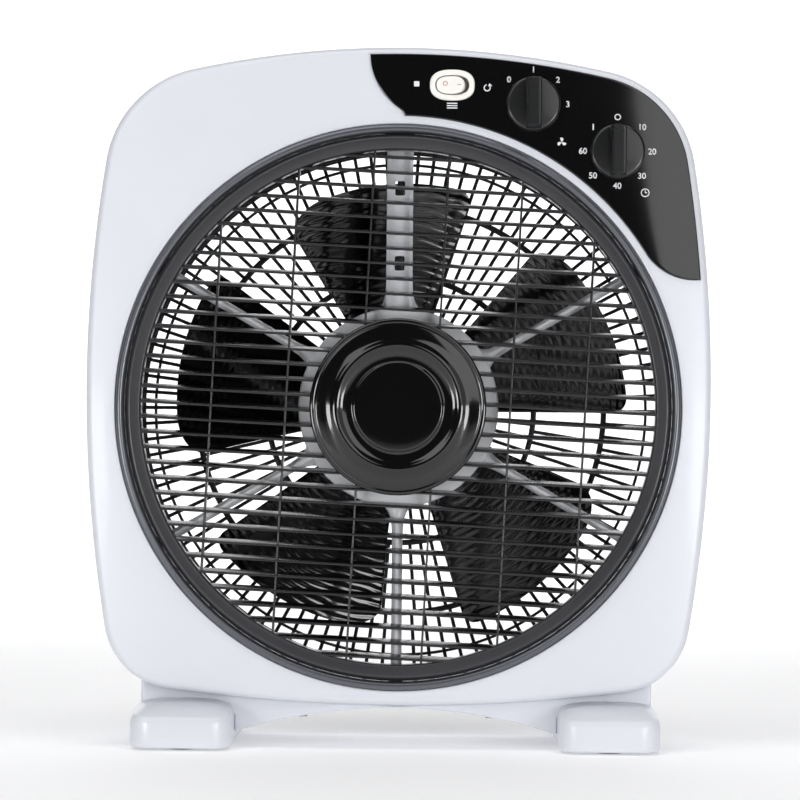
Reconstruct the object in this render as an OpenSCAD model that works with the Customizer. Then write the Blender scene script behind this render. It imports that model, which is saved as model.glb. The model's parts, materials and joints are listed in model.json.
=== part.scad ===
// Box fan with a turning front louver. Millimetres, +Z up, the fan axis along Y, the front towards -Y.
// The origin lies on the floor, under the middle of the body.

/* [Overall] */
// Diameter swept by the blades
blade_d = 305; // [240:1:380]
// Height of the body's underside above the floor
floor_gap = 28.4; // [28:0.2:60]
// Distance from the parting line to the front of the front cover
front_depth = 38; // [36:1:60]
// Distance from the parting line to the back of the rear cover
rear_depth = 84; // [80:1:110]

/* [Housing] */
// Gap from the blade tips to the wall of the front opening
opening_gap = 30.5; // [28:0.5:45]
// Width of the cover beside the opening
side_margin = 19.5; // [16:0.5:30]
// Height of the cover above the opening
top_margin = 50.6; // [46:0.5:70]
// Height of the cover below the opening
bottom_margin = 9.6; // [8:0.2:20]
// Radius of the bulging top edge
top_bulge_r = 620; // [500:10:900]
// Radius of the bulging sides
side_bulge_r = 930; // [700:10:1500]
// Radius of the bulging bottom edge
bottom_bulge_r = 1200; // [900:10:2000]
// Corner radius at the top
top_corner_r = 72; // [60:1:90]
// Corner radius at the bottom
bottom_corner_r = 48; // [36:1:60]
// Wall of the moulded covers
wall = 2.4; // [1.8:0.1:3.2]
// How far the front edge of the cover is rounded back
edge_round = 6; // [3:0.5:9]

/* [Louver] */
// Width of the louver's outer ring
louver_ring_w = 10.6; // [8:0.2:14]
// Width of the bevelled trim ring
trim_w = 5.6; // [4:0.2:8]
// Spacing of the flat slats
slat_pitch = 9.77; // [8:0.1:14]
// Thickness of a slat
slat_t = 1.6; // [1.2:0.1:2.2]
// Depth of a slat from front to back
slat_depth = 12; // [8:0.5:14]
// Tilt of the slats
slat_tilt = 10; // [0:1:20]
// Radius of the centre cap
cap_r = 57; // [48:1:62]
// Angle at which the louver has stopped
louver_rest = -2.75; // [-30:0.25:30]

/* [Bracket] */
// Radius of the hub plate behind the louver
hub_r = 65; // [63:1:75]
// Width of a plain spoke
spoke_w = 6; // [4:0.5:9]
// Width of the lead channel in the top spoke
channel_w = 17; // [14:0.5:22]

/* [Fan] */
// Number of blades
blade_count = 5; // [3:1:7]
// Angle that one blade covers, seen from the front
blade_span = 50; // [36:1:56]
// Pitch of the blades
blade_pitch = 17; // [8:1:19]
// Radius of the fan's hub
fan_hub_r = 36; // [32:1:42]
// Diameter of the motor shaft
shaft_d = 8; // [6:0.5:10]
// Diameter of the motor
motor_d = 92; // [84:1:100]

/* [Controls] */
// Distance of the knobs from the opening's wall
control_offset = 32; // [30:0.5:38]
// Diameter of the knobs
knob_d = 35; // [30:0.5:37]
// Width of a knob's grip bar
grip_w = 10.8; // [8:0.2:14]
// Diameter of the control spindles
spindle_d = 6; // [5:0.5:7]

/* [Stand] */
// Width of a foot
foot_w = 65; // [50:1:80]
// Length of a foot from front to back
foot_len = 165; // [160:1:220]
// Distance of a foot's middle from the middle of the body
foot_x = 137.5; // [110:1:150]
// Height of a foot under the body
foot_h = 31; // [26:1:34]
// Thickness of the rubber pads
pad_t = 3; // [2:0.5:5]

/* [Hidden] */
$fn = 72;

// Clearances
running = 0.05;      // radial, between a shaft and its bearing
seat = 0.02;         // radial, between a shaft and the part fixed on it
fit_gap = 0.3;       // between mouldings that go into each other
free_gap = 0.5;      // between mouldings that turn past each other
screw_d = 3.4;
head_d = 7;
boss_d = 9;

// Depths along the axis, measured forwards from the middle of the feet
parting = 22;
cover_front = parting + front_depth;
rear_face = parting - rear_depth;
panel_t = 1.8;
panel_front = cover_front + panel_t;
duct_back = cover_front - 20;
bracket_t = 3;
bracket_back = duct_back - fit_gap - bracket_t;
slat_front = cover_front + 3.5;
slat_back = slat_front - slat_depth;
hub_plate_front = slat_back - 5.5;
hub_plate_back = hub_plate_front - bracket_t;
louver_motor_t = 15;
louver_motor_back = hub_plate_back - louver_motor_t;
spinner_front = louver_motor_back - 4;
spinner_t = 11;
fan_hub_front = spinner_front - spinner_t + 3;
fan_hub_t = 30;
fan_hub_back = fan_hub_front - fan_hub_t;
motor_front = fan_hub_back - 4;
grille_t = 3.5;
grille_front = rear_face - 2.4;
grille_back = grille_front - grille_t;
motor_back = grille_front + 6;
shield_t = 10;
shield_wall = 1.5;

// Radii
blade_r = blade_d / 2;
opening_r = blade_r + opening_gap;
trim_r = opening_r - fit_gap;
louver_r = trim_r - trim_w - free_gap;
louver_inner_r = louver_r - louver_ring_w;
grille_open_r = blade_r + 26.5;
grille_flange_r = grille_open_r + 8;
motor_r = motor_d / 2;
bush_r = 7;

// Outline of the body: bulging sides and round corners, all arcs that run into each other
half_w = opening_r + side_margin;
top_y = opening_r + top_margin;
bottom_y = -opening_r - bottom_margin;
axis_h = floor_gap - bottom_y;
widest_y = 14;
top_c = [0, top_y - top_bulge_r];
side_c = [half_w - side_bulge_r, widest_y];
bottom_c = [0, bottom_y + bottom_bulge_r];
function meet(a, ra, b, rb) =
    let (d = norm(b - a), u = (b - a) / d, t = (d * d + ra * ra - rb * rb) / (2 * d))
    a + t * u + sqrt(ra * ra - t * t) * [u[1], -u[0]];
top_corner_c = meet(top_c, top_bulge_r - top_corner_r, side_c, side_bulge_r - top_corner_r);
bottom_corner_c = meet(side_c, side_bulge_r - bottom_corner_r, bottom_c, bottom_bulge_r - bottom_corner_r);
function heading(v) = atan2(v[1], v[0]);
a_bottom = heading(bottom_corner_c - bottom_c);
a_side_low = heading(bottom_corner_c - side_c);
a_side_high = heading(top_corner_c - side_c);
a_top = heading(top_corner_c - top_c);
function arc(c, r, a0, a1, n) =
    [for (i = [1:n]) c + r * [cos(a0 + (a1 - a0) * i / n), sin(a0 + (a1 - a0) * i / n)]];
function right_side(inset) = concat(
    arc(bottom_c, bottom_bulge_r - inset, -90, a_bottom, 5),
    arc(bottom_corner_c, bottom_corner_r - inset, a_bottom, a_side_low, 8),
    arc(side_c, side_bulge_r - inset, a_side_low, a_side_high, 9),
    arc(top_corner_c, top_corner_r - inset, a_side_high, a_top, 10),
    arc(top_c, top_bulge_r - inset, a_top, 90, 6));
function outline(inset) =
    let (right = right_side(inset), n = len(right))
    concat(right, [for (i = [n - 2:-1:0]) [-right[i][0], right[i][1]]],
        [[0, bottom_y + inset]]);
module outline_shape(inset) { polygon(outline(inset)); }

// Places of the screws that join the covers, in the front view
function toward(c, r, a) = c + r * [cos(a), sin(a)];
boss_inset = 10;
right_bosses = [
    toward(top_corner_c, top_corner_r - boss_inset, 47),
    [half_w - 9, widest_y],
    toward(bottom_corner_c, bottom_corner_r - boss_inset, -45)];
cover_bosses = concat([[0, top_y - boss_inset]], right_bosses, [for (p = right_bosses) [-p[0], p[1]]]);
bracket_screw_r = opening_r + 8;
bracket_screw_a = [0, 60, 120, 180, 240, 300];
bracket_r = opening_r + 4;
spoke_a = [30, 150, 210, 270, 330];
grille_screw_r = grille_open_r + 4;
grille_screw_a = [30, 90, 150, 210, 270, 330];
motor_bolt_r = motor_r - 4.5;
mount_screw_r = 30;
louver_screw_x = 29;
upright_pitch = 48.3;
upright_t = 1.4;

// Controls, in the front view
control_r = opening_r + control_offset;
rocker_at = toward([0, 0], control_r - 4.4, 80.9);
speed_r = control_r - 1;
speed_at = toward([0, 0], speed_r, 66.4);
timer_at = toward([0, 0], control_r + 2.2, 49.8);
knob_back = panel_front + 0.5;
knob_disc_t = 6;
knob_t = 17;
bushing_d = 9;
switch_back = cover_front - wall - 18;
timer_back = cover_front - wall - 24;
rocker_w = 20.6;
rocker_h = 11.9;
rocker_tip = 10;
rocker_pivot = panel_front - 5;
rocker_back = cover_front - 22;
rocker_body_w = 25;
rocker_body_h = 16.4;
panel_inset = 5.2;
panel_arc_r = opening_r + 5;
panel_left = -20;
panel_left_r = 45;
panel_right_r = 37;
panel_right_a = 32.3;

// Stand
skirt_wall = 3;
skirt_front = parting + 18;
skirt_back = rear_face + 4;
skirt_half_w = foot_x + foot_w / 2 - 4;
arch_half_w = foot_x - foot_w / 2;
arch_low = 9;
arch_high = floor_gap - 3.2;
foot_bottom = pad_t / 2;
foot_nose = 20;
pad_r = 9;
column_x = foot_x - 12;
foot_screw_f = [skirt_front - 15, skirt_back + 15];
base_screw_x = 62;
base_screw_f = [parting - 14, rear_face + 34];
base_boss_h = 14;
pad_f = foot_len / 2 - 22;

// Leads held inside: points in the front view with a depth, from the motors to the switches
lead_d = 5;
lead_a = 90;
lead_f = grille_front + lead_d / 2 + fit_gap;
function along(r, f) = [r * cos(lead_a), r * sin(lead_a), f];
motor_lead_path = [along(motor_r + 0.3, motor_back + 5), along(motor_r + 8, motor_back + 4.6),
    along(motor_r + 18, lead_f + 1), along(motor_r + 30, lead_f), along(blade_r - 30, lead_f),
    along(blade_r + 2, lead_f), along(blade_r + 8, lead_f + 3), along(blade_r + 11, lead_f + 10),
    along(blade_r + 12, rear_face + 22), along(blade_r + 17, rear_face + 30),
    [6, opening_r + 1, rear_face + 35], [30, opening_r + 8, rear_face + 46],
    [speed_at[0] - 22, speed_at[1] - 6, parting - 26], [speed_at[0] - 4, speed_at[1] - 5, parting - 10],
    [speed_at[0], speed_at[1] - 4, switch_back - 8], [speed_at[0], speed_at[1] - 4, switch_back - fit_gap]];
louver_lead_d = 3.6;
louver_lead_f = bracket_back - louver_lead_d / 2 - 0.8;
louver_lead_path = [[0, 25.3, louver_lead_f], [0, hub_r, louver_lead_f], [0, bracket_r, louver_lead_f],
    [rocker_at[0] / 4, rocker_at[1] - 14, louver_lead_f - 1],
    [rocker_at[0] * 0.7, rocker_at[1] - 5, louver_lead_f - 1.5],
    [rocker_at[0], rocker_at[1], louver_lead_f + 0.6],
    [rocker_at[0], rocker_at[1], rocker_back - fit_gap]];

module at_depth(f) { translate([0, -f, axis_h]) rotate([90, 0, 0]) children(); }
module slab(f0, f1) { at_depth(f0) linear_extrude(f1 - f0) children(); }
module rod(at, r, f0, f1) { at_depth(f0) translate(at) cylinder(r = r, h = f1 - f0); }
module ring(r0, r1) { difference() { circle(r1, $fn = 180); circle(r0, $fn = 180); } }
module polar(r, a) { rotate(a) translate([r, 0]) children(); }
module screw(at, f_head, length, toward_front = true) {
    way = toward_front ? 1 : -1;
    rod(at, screw_d / 2 - 0.2, min(f_head, f_head + way * length), max(f_head, f_head + way * length));
    rod(at, head_d / 2 - 0.4, min(f_head, f_head - way * 2.2), max(f_head, f_head - way * 2.2));
}
module round_box(w, h, r) {
    square([w - 2 * r, h], center = true);
    square([w, h - 2 * r], center = true);
    for (x = [-1, 1], y = [-1, 1]) translate([x * (w / 2 - r), y * (h / 2 - r)]) circle(r);
}

// ---- Housing ----

module cover_rim() {
    slab(parting, cover_front - edge_round) difference() { outline_shape(0); outline_shape(wall); }
    for (i = [0:2]) {
        f0 = cover_front - edge_round + i * edge_round / 3;
        slab(f0, f0 + edge_round / 3) difference() {
            outline_shape(edge_round * (1 - cos(20 + 25 * i)));
            outline_shape(edge_round * (1 - cos(20 + 25 * i)) + wall + 1);
        }
    }
}
module front_cover() {
    color("#e6e8ee") difference() {
        union() {
            cover_rim();
            slab(cover_front - wall, cover_front) difference() {
                outline_shape(edge_round / 2);
                circle(opening_r, $fn = 180);
            }
            slab(duct_back, cover_front) ring(opening_r, opening_r + wall);
            for (p = cover_bosses) rod(p, boss_d / 2, parting + 2, cover_front - wall / 2);
            for (a = bracket_screw_a)
                rod(toward([0, 0], bracket_screw_r, a), boss_d / 2 - 1, duct_back, cover_front - wall / 2);
        }
        for (p = cover_bosses) rod(p, screw_d / 2 - 0.2, parting + 1, parting + 16);
        for (a = bracket_screw_a)
            rod(toward([0, 0], bracket_screw_r, a), screw_d / 2 - 0.2, duct_back - 1, duct_back + 12);
        for (p = [speed_at, timer_at]) rod(p, bushing_d / 2 + fit_gap, cover_front - wall - 1, cover_front + 1);
        slab(cover_front - wall - 1, cover_front + 1) translate(rocker_at)
            square([rocker_body_w + 2 * fit_gap, rocker_body_h + 2 * fit_gap], center = true);
    }
}
module trim_ring() {
    color("#6d6f73") at_depth(0) rotate_extrude($fn = 180) polygon([
        [louver_r + free_gap, cover_front - 11], [trim_r, cover_front - 11],
        [trim_r, cover_front + 2.6], [trim_r - 1.2, cover_front + 2.6],
        [louver_r + free_gap, cover_front - 1.5]]);
}
// The panel: round corners of its own where it leaves the opening's edge, and the body's outline outside
function panel_edge() = let (
    left_c = [panel_left + panel_left_r, top_y - 4],
    right_c = toward([0, 0], panel_arc_r + panel_right_r, panel_right_a)) concat(
    arc(left_c, panel_left_r, 180, 180 + 58, 8),
    arc([0, 0], panel_arc_r, 89.4, panel_right_a, 24),
    arc(right_c, panel_right_r, 180 + panel_right_a, 270, 8),
    [[half_w + 10, right_c[1] - panel_right_r], [half_w + 10, top_y + 10], [panel_left, top_y + 10]]);
module panel_shape() {
    intersection() {
        outline_shape(panel_inset);
        polygon(panel_edge());
    }
}
module control_panel() {
    color("#17181b") slab(cover_front, panel_front) difference() {
        panel_shape();
        for (p = [speed_at, timer_at]) translate(p) circle(bushing_d / 2 + fit_gap);
        translate(rocker_at) square([rocker_body_w + 2 * fit_gap, rocker_body_h + 2 * fit_gap], center = true);
    }
}
module bracket_tabs() {
    for (a = bracket_screw_a) polar(bracket_screw_r, a) circle(4.4);
    for (a = bracket_screw_a) rotate(a) translate([bracket_r - 4, -4.4])
        square([bracket_screw_r - bracket_r + 4, 8.8]);
}
module spoke(w) { translate([hub_r - 4, -w / 2]) square([opening_r - 1 - hub_r + 4, w]); }
module louver_bracket() {
    color("#8f9297") difference() {
        union() {
            slab(bracket_back, bracket_back + bracket_t) {
                ring(opening_r - 6, bracket_r);
                bracket_tabs();
            }
            slab(hub_plate_back, hub_plate_front) circle(hub_r, $fn = 180);
            slab(bracket_back, hub_plate_front) ring(hub_r - 3, hub_r);
            for (a = spoke_a) slab(bracket_back, bracket_back + 9) rotate(a) spoke(spoke_w);
            slab(bracket_back, bracket_back + 3) rotate(90) spoke(channel_w);
            for (s = [-1, 1]) slab(bracket_back, bracket_back + 9) rotate(90)
                translate([0, s * (channel_w / 2 - 1)]) spoke(2);
            for (s = [-1, 1]) rod([s * louver_screw_x, 0], 4, hub_plate_back - 1.5, hub_plate_front - 1);
        }
        for (a = bracket_screw_a)
            rod(toward([0, 0], bracket_screw_r, a), screw_d / 2, bracket_back - 1, bracket_back + bracket_t + 1);
        rod([0, 0], 6, hub_plate_back - 1, hub_plate_front + 1);
        for (s = [-1, 1])
            rod([s * louver_screw_x, 0], screw_d / 2 - 0.2, hub_plate_back - 2, hub_plate_front - 0.8);
        for (r = [94, 143]) slab(bracket_back - 1, bracket_back + 3.5) translate([0, r])
            square([6.4, 9.5], center = true);
    }
}
handle_w = 112;
handle_h = 20;
handle_deep = 24;
handle_y = grille_flange_r + 8 + handle_h / 2;
inlet_at = [-(foot_x - 4), bottom_y + 42];
inlet_r = 4.1;
inlet_t = 6;
rear_inset = 1;
tube_r = head_d / 2 + 2.2;
module rear_cover() {
    color("#e2e4ea") difference() {
        union() {
            slab(rear_face, parting - fit_gap) difference() {
                outline_shape(rear_inset);
                outline_shape(rear_inset + wall);
            }
            slab(rear_face, rear_face + wall) difference() {
                outline_shape(rear_inset + 1);
                circle(grille_open_r, $fn = 180);
            }
            slab(rear_face, rear_face + 22) ring(grille_open_r, grille_open_r + wall);
            slab(rear_face, rear_face + handle_deep + wall) translate([0, handle_y])
                round_box(handle_w + 2 * wall, handle_h + 2 * wall, 8);
            for (p = cover_bosses) rod(p, tube_r - 1, rear_face + 1, parting + 2 - fit_gap);
            for (a = grille_screw_a)
                rod(toward([0, 0], grille_screw_r, a), 3.6, rear_face, rear_face + 12);
            rod(inlet_at, inlet_r + 3, rear_face, rear_face + inlet_t);
            for (f = base_screw_f) slab(f - 4.5, f + 4.5) intersection() {
                outline_shape(rear_inset + 1);
                for (s = [-1, 1]) translate([s * base_screw_x, bottom_y + base_boss_h / 2])
                    square([9, base_boss_h], center = true);
            }
        }
        slab(rear_face - 1, rear_face + handle_deep) translate([0, handle_y])
            round_box(handle_w, handle_h, 7);
        for (p = cover_bosses) {
            rod(p, head_d / 2, rear_face - 1, parting - 2);
            rod(p, screw_d / 2, parting - 3, parting + 3);
        }
        for (a = grille_screw_a)
            rod(toward([0, 0], grille_screw_r, a), screw_d / 2 - 0.2, rear_face - 1, rear_face + 11);
        rod(inlet_at, inlet_r, rear_face - 1, rear_face + inlet_t + 1);
        for (f = base_screw_f, s = [-1, 1]) translate([s * base_screw_x, -f, axis_h + bottom_y - 5])
            cylinder(r = screw_d / 2 - 0.2, h = base_boss_h + 3);
    }
}
grille_rings = [46.5, 91.3, 139.3, grille_open_r - 2.1];
grille_counts = [60, 80, 100];
grille_bar = 1.9;
module grille_slot(r0, r1, count) {
    a0 = (grille_bar / 2) / r0 * 180 / PI;
    a1 = (grille_bar / 2) / r1 * 180 / PI;
    step = 360 / count;
    for (i = [0:count - 1]) rotate(i * step) polygon([
        [r0 * cos(a0), r0 * sin(a0)], [r1 * cos(a1), r1 * sin(a1)],
        [r1 * cos(step - a1), r1 * sin(step - a1)], [r0 * cos(step - a0), r0 * sin(step - a0)]]);
}
module rear_grille() {
    color("#141517") {
        difference() {
            slab(grille_back, grille_front) difference() {
                circle(grille_open_r, $fn = 180);
                for (i = [0:2])
                    grille_slot(grille_rings[i] + grille_bar, grille_rings[i + 1] - grille_bar, grille_counts[i]);
            }
            for (a = [45, 135, 225, 315])
                rod(toward([0, 0], mount_screw_r, a), screw_d / 2, grille_back - 1, grille_front + 1);
        }
        difference() {
            slab(grille_front, rear_face) ring(grille_open_r - 3, grille_flange_r);
            for (a = grille_screw_a)
                rod(toward([0, 0], grille_screw_r, a), screw_d / 2, grille_front - 1, rear_face + 1);
        }
    }
}

// ---- Stand ----

function arch_z(x, w) = arch_low + (arch_high - arch_low) * (1 - pow(x / w, 2));
module arch_shape(lift) {
    n = 16;
    w = arch_half_w + lift;
    polygon(concat([[-w, -5]], [for (i = [0:n]) let (x = w * (2 * i / n - 1)) [x, arch_z(x, w) + lift]],
        [[w, -5]]));
}
module skirt_outer() {
    difference() {
        translate([-skirt_half_w, arch_low]) square([2 * skirt_half_w, axis_h]);
        translate([0, axis_h]) outline_shape(-fit_gap);
        translate([-half_w * 2, axis_h + bottom_corner_c[1]]) square([half_w * 4, axis_h * 3]);
        arch_shape(0);
        for (s = [-1, 1]) translate([s * foot_x - foot_w / 2, 0]) square([foot_w, foot_h]);
    }
}
module front_view(f0, f1) { translate([0, -f0, 0]) rotate([90, 0, 0]) linear_extrude(f1 - f0) children(); }
module base() {
    color("#e2e4ea") difference() {
        union() {
            difference() {
                front_view(skirt_back, skirt_front) skirt_outer();
                front_view(skirt_back + skirt_wall, skirt_front - skirt_wall) difference() {
                    translate([-skirt_half_w + skirt_wall, foot_h + skirt_wall])
                        square([2 * (skirt_half_w - skirt_wall), axis_h]);
                    for (s = [-1, 1]) translate([s * column_x - 6, 0]) square([12, axis_h]);
                }
                front_view(skirt_back + skirt_wall, skirt_front - skirt_wall) difference() {
                    translate([-arch_half_w + 2, 0]) square([2 * arch_half_w - 4, foot_h + skirt_wall]);
                    arch_shape(skirt_wall);
                }
            }
            for (f = base_screw_f) front_view(f - 5, f + 5) difference() {
                for (s = [-1, 1]) translate([s * base_screw_x - 5, arch_low]) square([10, axis_h / 2]);
                translate([0, axis_h]) outline_shape(rear_inset);
                arch_shape(0);
            }
        }
        for (f = foot_screw_f, s = [-1, 1]) translate([s * column_x, -f, 0])
            cylinder(r = screw_d / 2 - 0.2, h = foot_h + 10);
        for (f = base_screw_f, s = [-1, 1]) translate([s * base_screw_x, -f, 0])
            cylinder(r = screw_d / 2, h = axis_h / 2);
    }
}
module foot(s) {
    color("#e2e4ea") difference() {
        intersection() {
            translate([s * foot_x - foot_w / 2, 0, 0]) rotate([90, 0, 90]) linear_extrude(foot_w) polygon([
                [-foot_len / 2, foot_bottom], [-foot_len / 2, foot_nose - 4], [-foot_len / 2 + 4, foot_nose],
                [-skirt_front, foot_h], [-skirt_back, foot_h], [foot_len / 2 - 4, foot_nose],
                [foot_len / 2, foot_nose - 4], [foot_len / 2, foot_bottom]]);
            translate([s * foot_x, 0, 0]) linear_extrude(foot_h + 1) round_box(foot_w, foot_len, 14);
        }
        translate([s * foot_x, 0, -1]) linear_extrude(foot_nose - 4) difference() {
            round_box(foot_w - 6, foot_len - 6, 11);
            square([foot_w, 4], center = true);
            for (f = [-pad_f, pad_f]) translate([0, f]) circle(pad_r + 3);
            for (f = foot_screw_f) translate([-s * (foot_x - column_x), -f]) circle(6);
        }
        for (f = [-pad_f, pad_f]) translate([s * foot_x, f, -1]) cylinder(r = pad_r + seat, h = pad_t + 1);
        for (f = foot_screw_f) translate([s * column_x, -f, -1]) {
            cylinder(r = screw_d / 2, h = foot_h + 2);
            cylinder(r = head_d / 2, h = foot_h - 4 + 1);
        }
    }
}
module foot_left() { foot(-1); }
module foot_right() { foot(1); }
module pad(s, f) {
    color("#3a3a3c") translate([s * foot_x, -f, 0]) cylinder(r = pad_r, h = pad_t);
}
module foot_pad_front_left() { pad(-1, pad_f); }
module foot_pad_rear_left() { pad(-1, -pad_f); }
module foot_pad_front_right() { pad(1, pad_f); }
module foot_pad_rear_right() { pad(1, -pad_f); }

// ---- Fan motor ----

shaft_r = shaft_d / 2;
pin_r = 1.5;
pin_f = fan_hub_back + 1.7;
stator_front = motor_front - shield_t;
stator_back = motor_back + shield_t;
air_gap_r = 24;
vent_r = 27.5;
module shield(f_open, f_closed) {
    f0 = min(f_open, f_closed);
    f1 = max(f_open, f_closed);
    way = f_closed > f_open ? 1 : -1;
    difference() {
        rod([0, 0], motor_r, f0, f1);
        rod([0, 0], motor_r - shield_wall, min(f_open - way, f_closed - way * shield_wall),
            max(f_open - way, f_closed - way * shield_wall));
        rod([0, 0], bush_r, f0 - 1, f1 + 1);
        for (a = [0:90:270]) rod(toward([0, 0], motor_bolt_r - 3, a), 1.6, f0 - 1, f1 + 1);
        for (a = [22.5:45:360]) slab(f0 - 1, f1 + 1) polar(vent_r, a) square([14, 5], center = true);
    }
}
module motor_front_shield() { color("#b9bcc0") shield(stator_front, motor_front); }
module motor_rear_shield() {
    color("#b9bcc0") difference() {
        shield(stator_back, motor_back);
        for (a = [45, 135, 225, 315])
            rod(toward([0, 0], mount_screw_r, a), screw_d / 2 - 0.2, motor_back - 1, motor_back + 4);
    }
}
module motor_stator() {
    color("#7c7f85") slab(stator_back, stator_front) difference() {
        circle(motor_r);
        circle(air_gap_r, $fn = 96);
        for (a = [0:90:270]) polar(motor_bolt_r - 3, a) circle(1.6);
    }
}
module motor_windings() {
    color("#a4562f") for (f = [[stator_front, stator_front + 6], [stator_back - 6, stator_back]])
        slab(f[0], f[1]) ring(air_gap_r + 1, motor_r - shield_wall - 8.5);
}
module bush(f0, f1) {
    color("#b08d4a") difference() {
        rod([0, 0], bush_r - seat, f0, f1);
        rod([0, 0], shaft_r + running, f0 - 1, f1 + 1);
    }
}
module motor_bush_front() { bush(motor_front - 8, motor_front); }
module motor_bush_rear() { bush(motor_back, motor_back + 8); }
module motor_bolts() {
    color("#9a9da2") for (a = [0:90:270]) {
        p = toward([0, 0], motor_bolt_r - 3, a);
        rod(p, 1.5, motor_back, motor_front + 2.5);
        rod(p, 3, motor_back - 2, motor_back);
        at_depth(motor_front) translate(p) cylinder(r = 3.2, h = 2.4, $fn = 6);
    }
}
module motor_mount_screws() {
    color("#9a9da2") for (a = [45, 135, 225, 315]) {
        p = toward([0, 0], mount_screw_r, a);
        screw(p, grille_back, 12);
        difference() {
            rod(p, 4.5, grille_front, motor_back);
            rod(p, screw_d / 2 + seat, grille_front - 1, motor_back + 1);
        }
    }
}
capacitor_at = toward([0, 0], grille_flange_r + 28, 135);
module capacitor() {
    color("#202124") slab(rear_face + 6, rear_face + 34) translate(capacitor_at) round_box(16, 34, 1.5);
}
module capacitor_clip() {
    color("#9a9da2") slab(rear_face + wall, rear_face + 26) translate(capacitor_at)
        difference() {
            square([19, 12], center = true);
            square([16 + 2 * seat, 12 + 2], center = true);
        }
    color("#9a9da2") slab(rear_face + wall, rear_face + wall + 1.2) translate(capacitor_at)
        square([19, 12], center = true);
}

// ---- Turning fan ----

module motor_shaft() {
    color("#c4c7cb") difference() {
        rod([0, 0], shaft_r, motor_back + 1, spinner_front - 2);
        translate([-shaft_d, -pin_f, axis_h]) rotate([0, 90, 0]) cylinder(r = pin_r + seat, h = 2 * shaft_d);
    }
}
module rotor() {
    color("#8b8e93") difference() {
        rod([0, 0], air_gap_r - 0.4, stator_back, stator_front);
        rod([0, 0], shaft_r + seat, stator_back - 1, stator_front + 1);
    }
}
leaf_t = 2.6;
module leaf() {
    a = blade_span / 2;
    n = 10;
    r_tip = blade_r;
    polygon(concat(
        [for (i = [0:n]) (r_tip + 3) * [cos(-a + 2 * a * i / n), sin(-a + 2 * a * i / n)]],
        [for (i = [n:-1:0]) (fan_hub_r - 5) * [cos(-a + 2 * a * i / n), sin(-a + 2 * a * i / n)]]));
}
first_blade = 90 + 6.5;
module fan_blades() {
    mid = (fan_hub_front + fan_hub_back) / 2;
    color("#101114") difference() {
        union() {
            intersection() {
                union() for (i = [0:blade_count - 1])
                    at_depth(mid) rotate(first_blade + i * 360 / blade_count)
                        rotate([blade_pitch, 0, 0]) translate([0, 0, -leaf_t / 2]) linear_extrude(leaf_t) leaf();
                rod([0, 0], blade_r, mid - 60, mid + 60, $fn = 180);
            }
            rod([0, 0], fan_hub_r, fan_hub_back, fan_hub_front);
        }
        rod([0, 0], fan_hub_r - 2.4, fan_hub_back - 1, fan_hub_front - 3);
        rod([0, 0], shaft_r + seat, fan_hub_back - 1, fan_hub_front + 1);
    }
    color("#101114") difference() {
        rod([0, 0], 9, fan_hub_back, fan_hub_front - 3);
        rod([0, 0], shaft_r + seat, fan_hub_back - 1, fan_hub_front);
        slab(fan_hub_back - 1, pin_f + pin_r) square([24, 2 * pin_r + 0.2], center = true);
    }
}
module drive_pin() {
    color("#9a9da2") translate([-8.5, -pin_f, axis_h]) rotate([0, 90, 0]) cylinder(r = pin_r, h = 17);
}
module spinner_nut() {
    color("#101114") difference() {
        at_depth(fan_hub_front) rotate_extrude() polygon([[0, 0], [15, 0], [15, 4], [11, spinner_t - 4],
            [0, spinner_t - 3]]);
        rod([0, 0], shaft_r + seat, fan_hub_front - 1, spinner_front - 2 + seat);
    }
}

// ---- Turning louver ----

louver_hub_r = cap_r - 2;
cap_seat = slat_front - 0.4;
louver_shaft_r = 3.5;
module slat(k) {
    y = (k + 0.5) * slat_pitch;
    w = 2 * sqrt(louver_inner_r * louver_inner_r - y * y) + 4;
    at_depth((slat_front + slat_back) / 2) rotate(louver_rest) translate([0, y, 0])
        rotate([slat_tilt, 0, 0]) cube([w, slat_t, slat_depth - 1], center = true);
}
module louver_grille() {
    last = floor(louver_inner_r / slat_pitch - 0.5);
    color("#121316") difference() {
        union() {
            intersection() {
                difference() {
                    union() {
                        for (k = [-last - 1:last]) slat(k);
                        for (x = [-5, -3, -1, 1, 3, 5]) slab(slat_back + 2, slat_front - 2)
                            rotate(louver_rest) translate([x * upright_pitch / 2, 0])
                                square([upright_t, 2 * louver_inner_r], center = true);
                    }
                    rod([0, 0], louver_hub_r - 1, slat_back - 5, slat_front + 5);
                }
                rod([0, 0], louver_inner_r + 2, slat_back - 5, slat_front + 5, $fn = 180);
            }
            at_depth(0) rotate_extrude($fn = 180) polygon([
                [louver_inner_r, slat_back], [louver_r, slat_back], [louver_r, cover_front - 1],
                [louver_r - 3, slat_front + 1], [louver_inner_r + 2, slat_front + 1],
                [louver_inner_r, slat_front - 1]]);
            slab(slat_back, cap_seat) ring(louver_hub_r - 2.5, louver_hub_r);
            slab(slat_back, slat_back + 2.5) circle(louver_hub_r, $fn = 120);
            rod([0, 0], 9, slat_back - 1, slat_back + 8);
        }
        rod([0, 0], louver_shaft_r + seat, slat_back - 2, slat_back + 6);
        rod([0, 0], screw_d / 2, slat_back + 4, slat_back + 9);
    }
}
module louver_cap() {
    color("#0d0e10") at_depth(cap_seat) rotate_extrude($fn = 120) polygon([
        [0, 2.2], [0, 4.6], [28, 4.6], [29, 5.4], [39, 5.4], [42, 3.6], [cap_r - 3, 3.2], [cap_r, 1.6],
        [cap_r, 0], [louver_hub_r - 2.8, 0], [louver_hub_r - 2.8, -4], [louver_hub_r - 4.4, -4],
        [louver_hub_r - 4.4, 1.2]]);
}
module louver_motor_shaft() {
    color("#c4c7cb") difference() {
        rod([0, 0], louver_shaft_r, louver_motor_back + 4, slat_back + 5.9);
        rod([0, 0], screw_d / 2 - 0.2, slat_back - 4, slat_back + 7);
    }
}
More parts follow.
